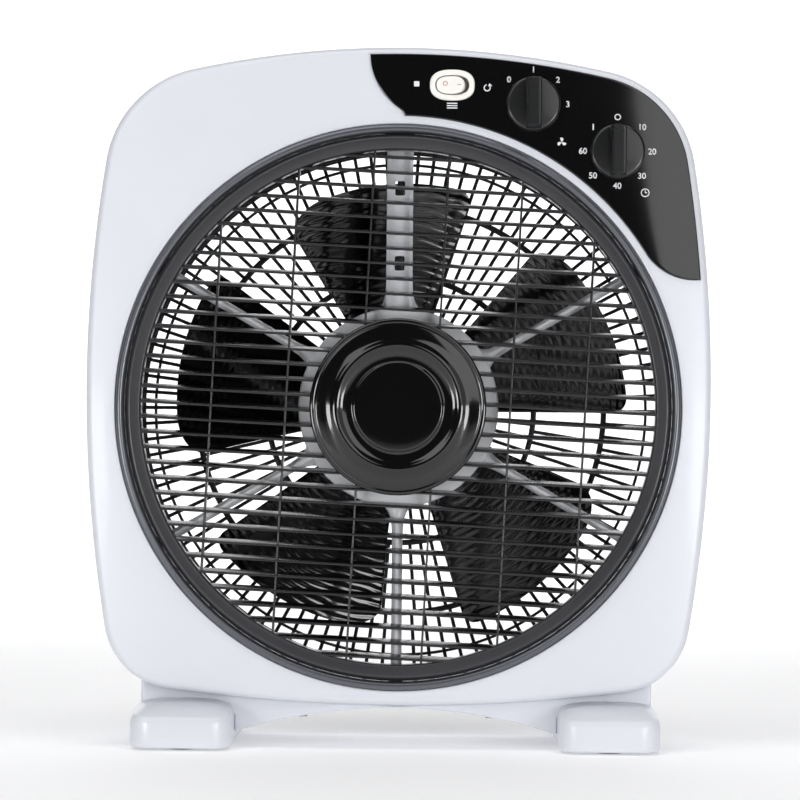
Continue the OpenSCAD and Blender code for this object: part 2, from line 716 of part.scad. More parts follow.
module louver_screw() { color("#9a9da2") screw([0, 0], slat_back + 8, 11, false); }

module louver_motor() {
    color("#c9ccd0") difference() {
        union() {
            rod([0, 0], 25, louver_motor_back, hub_plate_back - 1.5);
            slab(hub_plate_back - 2.7, hub_plate_back - 1.5) round_box(2 * louver_screw_x + 9, 9, 4);
            rod([0, 0], 5.8, hub_plate_back - 3, hub_plate_front - 1);
        }
        rod([0, 0], louver_shaft_r + running, louver_motor_back + 3.5, hub_plate_front + 1);
        for (s = [-1, 1])
            rod([s * louver_screw_x, 0], screw_d / 2, hub_plate_back - 4, hub_plate_back);
    }
}
module louver_motor_screws() {
    color("#9a9da2") for (s = [-1, 1]) screw([s * louver_screw_x, 0], hub_plate_back - 2.7, 3.4);
}

// ---- Controls ----

bushing_front = panel_front + 3;
nut_t = 2.6;
module bushing(at) { rod(at, bushing_d / 2, cover_front - wall - 2, bushing_front); }
module speed_switch() {
    color("#d8d5c8") difference() {
        union() {
            slab(switch_back, cover_front - wall) translate(speed_at) round_box(30, 30, 3);
            bushing(speed_at);
        }
        rod(speed_at, spindle_d / 2 + running, switch_back + 3, bushing_front + 1);
    }
}
module timer() {
    color("#cfd2d6") difference() {
        union() {
            rod(timer_at, 21, timer_back, cover_front - wall);
            bushing(timer_at);
        }
        rod(timer_at, spindle_d / 2 + running, timer_back + 3, bushing_front + 1);
    }
}
module nut(at) {
    color("#9a9da2") difference() {
        at_depth(panel_front) translate(at) cylinder(r = 8, h = nut_t, $fn = 6);
        rod(at, bushing_d / 2 + seat, panel_front - 1, panel_front + nut_t + 1);
    }
}
module speed_switch_nut() { nut(speed_at); }
module timer_nut() { nut(timer_at); }
module knob(at) {
    color("#131417") difference() {
        union() {
            rod(at, knob_d / 2, knob_back, knob_back + knob_disc_t);
            intersection() {
                rod(at, knob_d / 2 - 1, knob_back, knob_back + knob_t);
                slab(knob_back, knob_back + knob_t) translate(at) square([grip_w, knob_d], center = true);
            }
        }
        rod(at, spindle_d / 2 + seat, knob_back - 1, knob_back + 12);
        rod(at, 9.5, knob_back - 1, knob_back + nut_t + 1);
    }
}
module speed_knob() { knob(speed_at); }
module timer_knob() { knob(timer_at); }
module spindle(at, back) { color("#c4c7cb") rod(at, spindle_d / 2, back + 3.5, knob_back + 11.8); }
module speed_spindle() { spindle(speed_at, switch_back); }
module timer_spindle() { spindle(timer_at, timer_back); }
module rocker_housing() {
    color("#ececee") difference() {
        union() {
            slab(panel_front, panel_front + 2) translate(rocker_at) round_box(29, 20, 9.5);
            slab(rocker_back, panel_front + 0.5) translate(rocker_at)
                square([rocker_body_w, rocker_body_h], center = true);
        }
        slab(cover_front - 14, panel_front + 3) translate(rocker_at)
            square([rocker_w + 1.2, rocker_h + 0.8], center = true);
        translate([rocker_at[0], -rocker_pivot, axis_h + rocker_at[1]])
            cylinder(r = 1.5 + running, h = rocker_body_h - 1.6, center = true);
    }
}
module louver_rocker() {
    rise = panel_front + 2 - rocker_pivot;
    w = rocker_w / 2 - 1.2;
    end = rise + w * tan(rocker_tip);
    color("#f2f2f4") translate([rocker_at[0], -rocker_pivot, axis_h + rocker_at[1]]) {
        rotate([0, 0, -rocker_tip]) translate([0, 0, -rocker_h / 2]) linear_extrude(rocker_h)
            polygon([[-3, 3], [-w + 1, -2], [-w, -end], [0, -rise], [w, -end], [w - 1, -2], [3, 3]]);
        cylinder(r = 1.5, h = rocker_body_h - 2, center = true);
    }
}

// ---- Leads held inside ----

function heading_at(path, i) =
    let (v = path[min(i + 1, len(path) - 1)] - path[max(i - 1, 0)]) v / norm(v);
function lead_ring(p, t, d) =
    let (side = cross(t, [0.6, -0.5, 0.62]), u = side / norm(side), v = cross(t, u))
    [for (a = [0:45:315]) p + d / 2 * (cos(a) * u + sin(a) * v)];
module lead(path, d) {
    n = len(path);
    points = [for (i = [0:n - 1]) each lead_ring(path[i], heading_at(path, i), d)];
    sides = [for (i = [0:n - 2], j = [0:7]) [8 * i + j, 8 * i + (j + 1) % 8, 8 * i + 8 + (j + 1) % 8, 8 * i + 8 + j]];
    at_depth(0) polyhedron(points, concat(sides, [[7, 6, 5, 4, 3, 2, 1, 0]], [[for (j = [0:7]) 8 * (n - 1) + j]]));
}
module motor_lead() { color("#1c1c1e") lead(motor_lead_path, lead_d); }
module louver_lead() { color("#1c1c1e") lead(louver_lead_path, louver_lead_d); }

// ---- Screws ----

module cover_screws() { color("#9a9da2") for (p = cover_bosses) screw(p, parting - 2, 16); }
module bracket_screws() {
    color("#9a9da2") for (a = bracket_screw_a)
        screw(toward([0, 0], bracket_screw_r, a), bracket_back, 12);
}
module grille_screws() {
    color("#2a2b2e") for (a = grille_screw_a)
        screw(toward([0, 0], grille_screw_r, a), grille_front, 12);
}
module upright_screw(x, f, z_head, length) {
    translate([x, -f, z_head]) cylinder(r = screw_d / 2 - 0.2, h = length);
    translate([x, -f, z_head - 2.2]) cylinder(r = head_d / 2 - 0.4, h = 2.2);
}
module base_screws() {
    color("#9a9da2") for (f = base_screw_f, s = [-1, 1])
        upright_screw(s * base_screw_x, f, arch_z(base_screw_x + head_d / 2, arch_half_w), 20);
}
module foot_screws() {
    color("#9a9da2") for (f = foot_screw_f, s = [-1, 1]) upright_screw(s * column_x, f, foot_h - 4, 7);
}

front_cover();
trim_ring();
control_panel();
louver_bracket();
rear_cover();
rear_grille();
base();
foot_left();
foot_right();
foot_pad_front_left();
foot_pad_rear_left();
foot_pad_front_right();
foot_pad_rear_right();
motor_front_shield();
motor_rear_shield();
motor_stator();
motor_windings();
motor_bush_front();
motor_bush_rear();
motor_bolts();
motor_mount_screws();
capacitor();
capacitor_clip();
louver_motor();
louver_motor_screws();
speed_switch();
timer();
rocker_housing();
motor_lead();
louver_lead();
cover_screws();
bracket_screws();
grille_screws();
base_screws();
foot_screws();
speed_switch_nut();
timer_nut();
motor_shaft();
rotor();
fan_blades();
drive_pin();
spinner_nut();
louver_grille();
louver_cap();
louver_motor_shaft();
louver_screw();
speed_knob();
speed_spindle();
timer_knob();
timer_spindle();
louver_rocker();
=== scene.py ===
"""Looks of a 30 cm box fan with a turning front louver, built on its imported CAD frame."""
import json
import math

import bmesh
import bpy
import numpy as np
from mathutils import Matrix, Vector


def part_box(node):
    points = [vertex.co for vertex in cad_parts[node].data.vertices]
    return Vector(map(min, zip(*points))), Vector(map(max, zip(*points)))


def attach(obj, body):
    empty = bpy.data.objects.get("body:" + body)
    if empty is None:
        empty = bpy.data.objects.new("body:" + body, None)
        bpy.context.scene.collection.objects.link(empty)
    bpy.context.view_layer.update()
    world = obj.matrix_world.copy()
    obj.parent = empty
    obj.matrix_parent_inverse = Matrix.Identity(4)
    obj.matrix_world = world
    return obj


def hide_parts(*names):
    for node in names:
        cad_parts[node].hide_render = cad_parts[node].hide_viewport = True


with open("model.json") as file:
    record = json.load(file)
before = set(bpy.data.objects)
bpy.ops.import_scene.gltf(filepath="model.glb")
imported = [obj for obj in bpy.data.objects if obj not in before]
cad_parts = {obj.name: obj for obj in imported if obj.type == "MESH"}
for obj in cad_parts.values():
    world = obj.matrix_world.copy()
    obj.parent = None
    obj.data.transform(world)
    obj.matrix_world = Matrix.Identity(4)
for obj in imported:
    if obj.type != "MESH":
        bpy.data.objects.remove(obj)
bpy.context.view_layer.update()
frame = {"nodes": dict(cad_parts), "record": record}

# ---- Studio ----
# A pale, faintly glowing sweep under and far behind the fan, so that it can be seen from every
# side, and soft boxes. The surround is bright to the eye but dim as a light, so blacks stay black.
mm = 0.001
joints = {joint["name"]: joint for joint in frame["record"]["behaviour"]["joints"]}
axis_height = joints["fan_spin"]["pos_m"][2]


def box_of(node):
    """Low and high corner of a CAD node."""
    return [Vector(corner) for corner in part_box(node)]


cover_low, cover_high = box_of("front_cover")


def linear(hex_colour):
    """An sRGB hex colour as the linear RGBA that a shader socket takes."""
    parts = [int(hex_colour[i:i + 2], 16) / 255 for i in (1, 3, 5)]
    return [p / 12.92 if p <= 0.04045 else ((p + 0.055) / 1.055) ** 2.4 for p in parts] + [1.0]


def add(tree, kind, settings=None, inputs=None):
    """Adds one node with its settings; an input is a value or the socket that feeds it."""
    node = tree.nodes.new(kind)
    for key, value in (settings or {}).items():
        setattr(node, key, value)
    for key, value in (inputs or {}).items():
        if isinstance(value, bpy.types.NodeSocket):
            tree.links.new(value, node.inputs[key])
        else:
            node.inputs[key].default_value = value
    return node


def shown(name, data):
    """A new object with this data, linked to the scene."""
    obj = bpy.data.objects.new(name, data)
    bpy.context.scene.collection.objects.link(obj)
    return obj


def new_object(name, vertices, faces):
    """A mesh object at the origin, its doubles merged and its faces turned outwards."""
    mesh = bpy.data.meshes.new(name)
    mesh.from_pydata([tuple(v) for v in vertices], [], [tuple(f) for f in faces])
    work = bmesh.new()
    work.from_mesh(mesh)
    bmesh.ops.remove_doubles(work, verts=work.verts, dist=0.01 * mm)
    bmesh.ops.recalc_face_normals(work, faces=work.faces)
    work.to_mesh(mesh)
    work.free()
    return shown(name, mesh)


def smooth(obj, angle=32):
    """Smooth shading with edges sharper than angle kept crisp."""
    obj.data.shade_smooth()
    obj.data.set_sharp_from_angle(angle=math.radians(angle))


def loft(name, loops, wrap=False, caps=False):
    """A surface through loops of equally many points; wrap joins the last loop to the first."""
    count, size = len(loops), len(loops[0])
    vertices = [point for loop in loops for point in loop]
    faces = []
    for i in range(count if wrap else count - 1):
        a, b = i * size, ((i + 1) % count) * size
        faces += [(a + j, a + (j + 1) % size, b + (j + 1) % size, b + j) for j in range(size)]
    if caps:
        faces += [tuple(range(size)), tuple(range((count - 1) * size, count * size))]
    return new_object(name, vertices, faces)


studio = bpy.data.worlds.new("studio")
bpy.context.scene.world = studio
studio.use_nodes = True
studio.node_tree.nodes["Background"].inputs["Color"].default_value = linear("#f4f6fa")
seen_directly = add(studio.node_tree, "ShaderNodeLightPath").outputs["Is Camera Ray"]
surround = add(studio.node_tree, "ShaderNodeMapRange", inputs={
    "Value": seen_directly, "To Min": 0.06, "To Max": 1.0}).outputs["Result"]
studio.node_tree.links.new(surround, studio.node_tree.nodes["Background"].inputs["Strength"])
bpy.context.scene.view_settings.view_transform = "Standard"

sweep_width, sweep_front, sweep_back, sweep_rise = 12.0, -4.0, 3.6, 4.0
sweep_radius = 1.6
sweep_line = [(sweep_front, 0.0), (sweep_back - sweep_radius, 0.0)]
sweep_line += [
    (sweep_back - sweep_radius + sweep_radius * math.sin(a), sweep_radius - sweep_radius * math.cos(a))
    for a in np.linspace(0, math.pi / 2, 24)[1:]
]
sweep_line.append((sweep_back, sweep_rise))
sweep = new_object(
    "studio_sweep",
    [(x, y, z) for x in (-sweep_width / 2, sweep_width / 2) for y, z in sweep_line],
    [(i, i + 1, len(sweep_line) + i + 1, len(sweep_line) + i) for i in range(len(sweep_line) - 1)],
)
sweep.data.shade_smooth()
paper = bpy.data.materials.new("pale_paper")
paper.use_nodes = True
paper_shader = paper.node_tree.nodes["Principled BSDF"]
paper_shader.inputs["Base Color"].default_value = linear("#f6f6f7")
paper_shader.inputs["Roughness"].default_value = 0.9
paper_shader.inputs["Emission Color"].default_value = linear("#ffffff")
paper_shader.inputs["Emission Strength"].default_value = 0.22
sweep.data.materials.append(paper)


def soft_box(name, place, aim, width, height, power, colour="#ffffff"):
    """A rectangular area light at place, turned towards aim."""
    lamp = bpy.data.lights.new(name, "AREA")
    lamp.shape = "RECTANGLE"
    lamp.size, lamp.size_y, lamp.energy = width, height, power
    lamp.color = linear(colour)[:3]
    box = shown(name, lamp)
    box.location = place
    box.rotation_euler = (Vector(aim) - Vector(place)).to_track_quat("-Z", "Y").to_euler()
    box.visible_camera = False


middle = (0.0, 0.0, axis_height)
soft_box("key_light", (-1.3, -2.0, 1.7), middle, 1.4, 1.4, 11)
soft_box("fill_light", (1.8, -1.6, 0.9), middle, 1.2, 1.6, 3)
soft_box("top_light", (0.0, -0.45, 2.1), (0.0, -0.3, 0.0), 2.4, 1.2, 20)
soft_box("panel_light", (0.9, -2.2, 1.0), middle, 1.1, 1.4, 8)
for side in (-1, 1):
    soft_box(f"low_light_{side}", (side * 0.8, -1.15, 0.14), (0.0, -0.05, 0.03), 0.5, 0.24, 3.8)
soft_box("sweep_light", (0.0, 2.3, 2.4), (0.0, 3.6, 0.6), 3.4, 0.8, 70)

camera_data = bpy.data.cameras.new("camera")
camera = shown("camera", camera_data)
bpy.context.scene.camera = camera
camera.location = (27 * mm, -2.0, axis_height - 27 * mm)
framed_point = Vector((1.3 * mm, cover_low.y, axis_height + 4.5 * mm))
framed_width = 516 * mm
camera_roll = math.radians(0.5)
sight = framed_point - camera.location
camera.rotation_euler = (
    sight.to_track_quat("-Z", "Y").to_matrix() @ Matrix.Rotation(camera_roll, 3, "Z")
).to_euler()
camera_data.lens = camera_data.sensor_width * sight.length / framed_width
camera_data.clip_end = 50

# ---- Moulded plastic ----
# Injection-moulded ABS and polypropylene: an even colour, a soft gloss that wanders a little
# with the flow of the melt, and a faint grain from the mould.


def varied(name, colour, darkest, gloss, noise, depth, stretch=(1.0, 1.0, 1.0), grain=None):
    """A material whose colour and gloss wander with one noise; grain gives the relief its own."""
    material = bpy.data.materials.new(name)
    material.use_nodes = True
    tree = material.node_tree
    shader = tree.nodes["Principled BSDF"]
    place = add(tree, "ShaderNodeMapping", inputs={
        "Vector": add(tree, "ShaderNodeTexCoord").outputs["Object"], "Scale": stretch}).outputs["Vector"]
    flow = add(tree, "ShaderNodeTexNoise", inputs={
        "Vector": place, "Scale": noise[0], "Detail": noise[1]}).outputs["Fac"]
    roughness = add(tree, "ShaderNodeMapRange", inputs={
        "Value": flow, "From Min": 0.3, "From Max": 0.7, "To Min": gloss[0], "To Max": gloss[1]})
    shade = [c * darkest for c in linear(colour)[:3]] + [1.0]
    tint = add(tree, "ShaderNodeMix", {"data_type": "RGBA"}, {
        "Factor": flow, "A": shade, "B": linear(colour)})
    height = flow if grain is None else add(tree, "ShaderNodeTexNoise", inputs={
        "Vector": place, "Scale": 1 / grain, "Detail": 2.0}).outputs["Fac"]
    relief = add(tree, "ShaderNodeBump", inputs={"Strength": 1.0, "Distance": depth, "Height": height})
    for output, socket in ((roughness.outputs["Result"], "Roughness"), (tint.outputs["Result"], "Base Color"),
                           (relief.outputs["Normal"], "Normal")):
        tree.links.new(output, shader.inputs[socket])
    return material, shader.inputs


def moulded(name, colour, roughness, spread=0.05, grain=1.5 * mm, depth=0.02 * mm, coat=0.0, metallic=0.0):
    """A moulded plastic; grain is coarser than the real 0.1 mm so that it shows."""
    material, sockets = varied(name, colour, 0.93, (max(roughness - spread, 0.02), roughness + spread),
                               (9.0, 3.0), depth, grain=grain)
    for socket, value in (("IOR", 1.52), ("Coat Weight", coat), ("Coat Roughness", 0.08),
                          ("Metallic", metallic)):
        sockets[socket].default_value = value
    return material


def wear(obj, material, body, slot, *nodes):
    """Gives a finished piece its material, its body and the CAD nodes it stands for; slot is not used."""
    obj.data.materials.clear()
    obj.data.materials.append(material)
    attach(obj, body)
    if nodes:
        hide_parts(*nodes)


white_abs = moulded("white_abs_moulded", "#e0e2e9", 0.33, coat=0.15, depth=0.008 * mm)

# ---- Body outline ----
# Both covers share one outline: four bulging sides and round corners, arcs that run into each
# other. It is taken at even angles round the fan axis, so every loop of a shell matches.
half_width = cover_high.x
top_rise = cover_high.z - axis_height
bottom_drop = axis_height - cover_low.z
widest = 14 * mm
top_bulge, side_bulge, bottom_bulge = 620 * mm, 930 * mm, 1200 * mm
top_corner, bottom_corner = 72 * mm, 48 * mm
ring_angles = np.linspace(-math.pi / 2, 1.5 * math.pi, 361)[:-1]


def meet(a, ra, b, rb):
    """The point at ra from a and rb from b, to the right of the way from a to b."""
    d = b - a
    u = d / np.linalg.norm(d)
    t = (d @ d + ra * ra - rb * rb) / (2 * np.linalg.norm(d))
    return a + t * u + math.sqrt(ra * ra - t * t) * np.array([u[1], -u[0]])


def turn(v):
    return math.atan2(v[1], v[0])


def outline_radius(inset):
    """Distance from the fan axis to the outline, moved in by inset, at each ring angle."""
    top = np.array([0, top_rise - top_bulge])
    side = np.array([half_width - side_bulge, widest])
    low = np.array([0, bottom_bulge - bottom_drop])
    upper = meet(top, top_bulge - top_corner, side, side_bulge - top_corner)
    lower = meet(side, side_bulge - bottom_corner, low, bottom_bulge - bottom_corner)
    arcs = [
        (low, bottom_bulge, -math.pi / 2, turn(lower - low)),
        (lower, bottom_corner, turn(lower - low), turn(lower - side)),
        (side, side_bulge, turn(lower - side), turn(upper - side)),
        (upper, top_corner, turn(upper - side), turn(upper - top)),
        (top, top_bulge, turn(upper - top), math.pi / 2),
    ]
    points = np.array([
        centre + (radius - inset) * np.array([math.cos(a), math.sin(a)])
        for centre, radius, start, end in arcs for a in np.linspace(start, end, 60)
    ])
    angles = np.arctan2(points[:, 1], points[:, 0])
    folded = np.where(ring_angles > math.pi / 2, math.pi - ring_angles, ring_angles)
    return np.interp(folded, angles, np.hypot(points[:, 0], points[:, 1]))


def ring_loop(radius, depth):
    """One loop round the fan axis; radius and depth forwards are numbers or one value per angle."""
    radius = np.broadcast_to(radius, ring_angles.shape)
    depth = np.broadcast_to(depth, ring_angles.shape)
    return np.stack([
        radius * np.cos(ring_angles), -depth, axis_height + radius * np.sin(ring_angles)], axis=1)


def quarter(steps):
    """Angles of a quarter turn, for the rounding of an edge."""
    return np.linspace(0, math.pi / 2, steps)


# ---- Front cover ----
# The white front moulding: a gently crowned face with a soft outer edge, a rolled lip round the
# opening and a short throat behind it. Openings for the controls are cut through the face.
cover_front = -cover_low.y
parting = -cover_high.y
trim_low, trim_high = box_of("trim_ring")
opening_radius = trim_high.x + 0.3 * mm
wall = 2.4 * mm
crown = 1.6 * mm
edge_in, edge_deep = 5.5 * mm, 8 * mm
lip = 1.2 * mm
throat = 20 * mm


def face_depth(x, z):
    """Depth of the cover's face at a place in the front view, measured from the fan axis."""
    radius = np.hypot(x, z)
    angle = np.mod(np.arctan2(z, x) + math.pi / 2, 2 * math.pi) - math.pi / 2
    edge = np.interp(angle, ring_angles, outline_radius(edge_in), period=2 * math.pi)
    t = np.clip((radius - opening_radius) / (edge - opening_radius), 0, 1)
    return cover_front - crown * t ** 2


def face_loops(back_off, steps):
    """Loops over the face from its outer edge to the lip, back_off behind the outer skin."""
    edge = outline_radius(edge_in)
    rim = opening_radius + lip
    return [
        ring_loop(edge + (rim - edge) * t, cover_front - back_off - crown * (1 - t) ** 2)
        for t in np.linspace(0, 1, steps)
    ]


front_loops = [ring_loop(outline_radius(0), parting), ring_loop(outline_radius(0), parting + 8 * mm)]
front_loops += [
    ring_loop(
        outline_radius(edge_in * (1 - math.cos(a))),
        cover_front - crown - edge_deep + edge_deep * math.sin(a))
    for a in quarter(10)[:-1]
]
front_loops += face_loops(0, 9)
front_loops += [
    ring_loop(opening_radius + lip * (1 - math.sin(a)), cover_front - lip * (1 - math.cos(a)))
    for a in quarter(5)[1:]
]
front_loops += [
    ring_loop(opening_radius, cover_front - throat),
    ring_loop(opening_radius + wall, cover_front - throat),
    ring_loop(opening_radius + wall, cover_front - wall - 1 * mm),
]
front_loops += face_loops(wall, 9)[::-1][2:]
front_loops += [
    ring_loop(outline_radius(edge_in * (1 - math.cos(a)) + wall),
              cover_front - crown - edge_deep + (edge_deep - wall) * math.sin(a))
    for a in quarter(6)[::-1][1:]
]
front_loops.append(ring_loop(outline_radius(wall), parting))
front_cover = loft("front_cover_shell", front_loops, wrap=True)


def baked(obj):
    """The mesh of an object as its modifiers leave it."""
    return bpy.data.meshes.new_from_object(obj.evaluated_get(bpy.context.evaluated_depsgraph_get()))


def cut(obj, cutters, operation="DIFFERENCE"):
    """Cuts, or joins, closed solids out of a closed mesh and removes the cutters."""
    for cutter in cutters:
        modifier = obj.modifiers.new("cut", "BOOLEAN")
        modifier.operation, modifier.object, modifier.solver = operation, cutter, "MANIFOLD"
        result = baked(obj)
        obj.modifiers.clear()
        obj.data = result
    for cutter in cutters:
        bpy.data.objects.remove(cutter)


def block(name, x, z, f0, f1, outline):
    """A prism over a closed front-view outline centred at x, z, from depth f0 to f1."""
    loops = [[(x + px, -f, axis_height + z + pz) for px, pz in outline] for f in (f0, f1)]
    return loft(name, loops, caps=True)


def disc_outline(radius, count=48):
    return [(radius * math.cos(a), radius * math.sin(a))
            for a in np.linspace(0, 2 * math.pi, count + 1)[:-1]]


def rounded_box(width, height, radius, count=6):
    """A rectangle in the front view with round corners."""
    points = []
    for i, (sx, sz) in enumerate([(1, 1), (-1, 1), (-1, -1), (1, -1)]):
        for a in np.linspace(i * math.pi / 2, (i + 1) * math.pi / 2, count + 1):
            points.append((sx * (width / 2 - radius) + radius * math.cos(a),
                           sz * (height / 2 - radius) + radius * math.sin(a)))
    return points


def front_place(joint):
    """Place of a control in the front view, measured from the fan axis."""
    x, _, z = joints[joint]["pos_m"]
    return x, z - axis_height


speed_place, timer_place, rocker_place = (
    front_place(joint) for joint in ("speed_turn", "timer_turn", "rocker_tip"))


def oval(width, height, fullness=2.5, count=64):
    """An outline between an ellipse and a rectangle in the front view."""
    turns = np.linspace(0, 2 * math.pi, count + 1)[:-1]
    return [(width / 2 * math.copysign(abs(math.cos(a)) ** (2 / fullness), math.cos(a)),
             height / 2 * math.copysign(abs(math.sin(a)) ** (2 / fullness), math.sin(a))) for a in turns]


rocker_hole = oval(25.6 * mm, 16.8 * mm)


spindle_hole = disc_outline(4.9 * mm)


def control_cutters():
    """One cutter for each control, long enough to go through the cover and the panel."""
    return [block("cut", *place, parting, cover_front + 20 * mm, outline) for place, outline in (
        (speed_place, spindle_hole), (timer_place, spindle_hole), (rocker_place, rocker_hole))]


cut(front_cover, control_cutters())
smooth(front_cover)
wear(front_cover, white_abs, "housing", "white_abs", "front_cover")

# ---- Rear cover ----
# The deep white moulding behind the parting line: drafted sides, a wide soft back edge, a throat
# for the rear grille, a hand grip pocket near the top and deep wells for the cover screws.
rear_face = -box_of("rear_cover")[1].y
grille_low, grille_high = box_of("rear_grille")
grille_opening = grille_high.x - 8 * mm
rear_inset = 1.0 * mm
draft = 2.5 * mm
back_edge = 15 * mm
rear_throat = 22 * mm


def rear_loops(skin):
    """Loops from the parting line to the back face, skin inside the outer surface."""
    loops = [ring_loop(outline_radius(rear_inset + skin), parting - 0.3 * mm)]
    loops += [
        ring_loop(outline_radius(rear_inset + draft + skin + (back_edge - skin) * (1 - math.cos(a))),
                  rear_face + back_edge - (back_edge - skin) * math.sin(a))
        for a in quarter(9)
    ]
    return loops


outer_loops = rear_loops(0)
outer_loops += [
    ring_loop(grille_opening + 1.5 * mm, rear_face),
    ring_loop(grille_opening, rear_face + 1.5 * mm),
    ring_loop(grille_opening, rear_face + rear_throat),
    ring_loop(grille_opening + wall, rear_face + rear_throat),
    ring_loop(grille_opening + wall, rear_face + wall),
]
rear_cover = loft("rear_cover_shell", outer_loops + rear_loops(wall)[::-1], wrap=True)

grip_width, grip_height, grip_deep = 112 * mm, 20 * mm, 24 * mm
grip_rise = grille_high.x + 8 * mm + grip_height / 2
grip_mouth = 1.5 * mm
inlet_place = (-133.5 * mm, -bottom_drop + 42 * mm)
inlet_radius, inlet_wall = 4.1 * mm, 3 * mm
well_radius, well_wall = 3.5 * mm, 1.2 * mm
screw_hole = 1.7 * mm


def solids(node):
    """Low and high corner of each separate solid of a CAD node, such as each screw of a set."""
    work = bmesh.new()
    work.from_mesh(frame["nodes"][node].data)
    bmesh.ops.remove_doubles(work, verts=work.verts, dist=0.01 * mm)
    found, seen = [], set()
    for start in work.verts:
        if start in seen:
            continue
        seen.add(start)
        group, waiting = [], [start]
        while waiting:
            vertex = waiting.pop()
            group.append(vertex.co.copy())
            for edge in vertex.link_edges:
                other = edge.other_vert(vertex)
                if other not in seen:
                    seen.add(other)
                    waiting.append(other)
        found.append((Vector(map(min, zip(*group))), Vector(map(max, zip(*group)))))
    work.free()
    return found


def centres(boxes):
    """Middle of each box in the front view, measured from the fan axis."""
    return [((low.x + high.x) / 2, (low.z + high.z) / 2 - axis_height) for low, high in boxes]


def peg(x, z, radius, f0, f1):
    return block("peg", x, z, f0, f1, disc_outline(radius))


wells = centres(solids("cover_screws"))
cut(rear_cover, [
    block("pocket_wall", 0, grip_rise, rear_face + 1 * mm, rear_face + grip_deep + wall,
          rounded_box(grip_width + 2 * wall, grip_height + 2 * wall, 8 * mm)),
    peg(*inlet_place, inlet_radius + inlet_wall, rear_face + 0.5 * mm, rear_face + 6 * mm),
    *[peg(x, z, well_radius + well_wall, rear_face + 10 * mm, parting + 1.7 * mm) for x, z in wells],
], "UNION")
grip_cutter = loft("pocket", [
    [(x, -f, axis_height + grip_rise + z) for x, z in rounded_box(
        grip_width + 2 * grow, grip_height + 2 * grow, 7 * mm + grow)]
    for f, grow in [(rear_face - grip_mouth, 2 * grip_mouth), (rear_face + grip_mouth, 0.0),
                    (rear_face + grip_deep, 0.0)]
], caps=True)
cut(rear_cover, [
    grip_cutter,
    peg(*inlet_place, inlet_radius, rear_face - 1 * mm, rear_face + 7 * mm),
    *[peg(x, z, well_radius, rear_face - 1 * mm, parting - 2 * mm) for x, z in wells],
    *[peg(x, z, screw_hole, parting - 3 * mm, parting + 3 * mm) for x, z in wells],
])
smooth(rear_cover)
wear(rear_cover, white_abs, "housing", "white_abs", "rear_cover")

# ---- Trim ring ----
# A half-round ring painted in silver-grey lacquer, pressed into the opening of the front cover.
# Its crest stands a little proud of the white face.


def filleted(corners, steps=5):
    """A closed outline through corners (a, b, radius), each rounded to its radius."""
    outline = []
    for i, (a, b, radius) in enumerate(corners):
        corner = np.array([a, b])
        if not radius:
            outline.append(tuple(corner))
            continue
        before = np.array(corners[i - 1][:2]) - corner
        after = np.array(corners[(i + 1) % len(corners)][:2]) - corner
        before, after = before / np.linalg.norm(before), after / np.linalg.norm(after)
        half = math.acos(np.clip(before @ after, -1, 1)) / 2
        centre = corner + (before + after) / np.linalg.norm(before + after) * radius / math.sin(half)
        reach = radius / math.tan(half)
        start = turn(corner + before * reach - centre)
        sweep_angle = (turn(corner + after * reach - centre) - start + math.pi) % (2 * math.pi) - math.pi
        outline += [(centre[0] + radius * math.cos(start + sweep_angle * t),
                     centre[1] + radius * math.sin(start + sweep_angle * t))
                    for t in np.linspace(0, 1, steps)]
    return outline


def lathe(name, profile, centre=(0.0, 0.0), count=240, wrap=True):
    """A body turned about an axis along Y; the profile is (radius, depth), closed unless it has poles."""
    angles = np.linspace(0, 2 * math.pi, count + 1)[:-1]
    return loft(name, [
        [(centre[0] + r * math.cos(a), -f, axis_height + centre[1] + r * math.sin(a)) for a in angles]
        for r, f in profile
    ], wrap=wrap)


def hoop(name, inner, outer, back, front, rounds, count=240, steps=5):
    """A ring of rectangular section; rounds are the radii of its back and its front edges."""
    return lathe(name, filleted([
        (inner, back, rounds[0]), (outer, back, rounds[0]),
        (outer, front, rounds[1]), (inner, front, rounds[1])], steps), count=count)


trim_inner, trim_outer = trim_high.x - 5.6 * mm, trim_high.x
trim_crest = -trim_low.y
trim_middle, trim_half = (trim_inner + trim_outer) / 2, (trim_outer - trim_inner) / 2
trim_profile = [(trim_inner, cover_front - 11 * mm), (trim_outer, cover_front - 11 * mm)]
trim_shoulder = cover_front - 1.2 * mm
trim_profile += [
    (trim_middle + trim_half * math.cos(a), trim_shoulder + (trim_crest - trim_shoulder) * math.sin(a))
    for a in np.linspace(0, math.pi, 15)
]
trim_ring = lathe("trim_ring_lacquered", trim_profile, count=360)
smooth(trim_ring, 50)
grey_lacquer = moulded("silver_grey_lacquer", "#66686e", 0.28, spread=0.03,
                       depth=0.003 * mm, coat=0.3, metallic=0.7)
wear(trim_ring, grey_lacquer, "housing", "trim_grey", "trim_ring")

# ---- Control panel ----
# A glossy black ABS plate that lies on the crowned face and runs out to the body's outline. Its
# edge is rounded over, and a knob spindle or the rocker comes through each of its openings.
panel_thickness = 1.8 * mm
panel_round = 0.8 * mm
panel_inset = 5.2 * mm
panel_left_radius, panel_right_radius = 45 * mm, 37 * mm
panel_left_centre = np.array([25 * mm, top_rise - 4 * mm])
panel_arc = opening_radius + 5 * mm
panel_right_turn = math.radians(32.3)
panel_right_centre = (panel_arc + panel_right_radius) * np.array(
    [math.cos(panel_right_turn), math.sin(panel_right_turn)])


def arc(centre, radius, start, end, count):
    return [np.asarray(centre) + radius * np.array([math.cos(a), math.sin(a)])
            for a in np.linspace(start, end, count)]


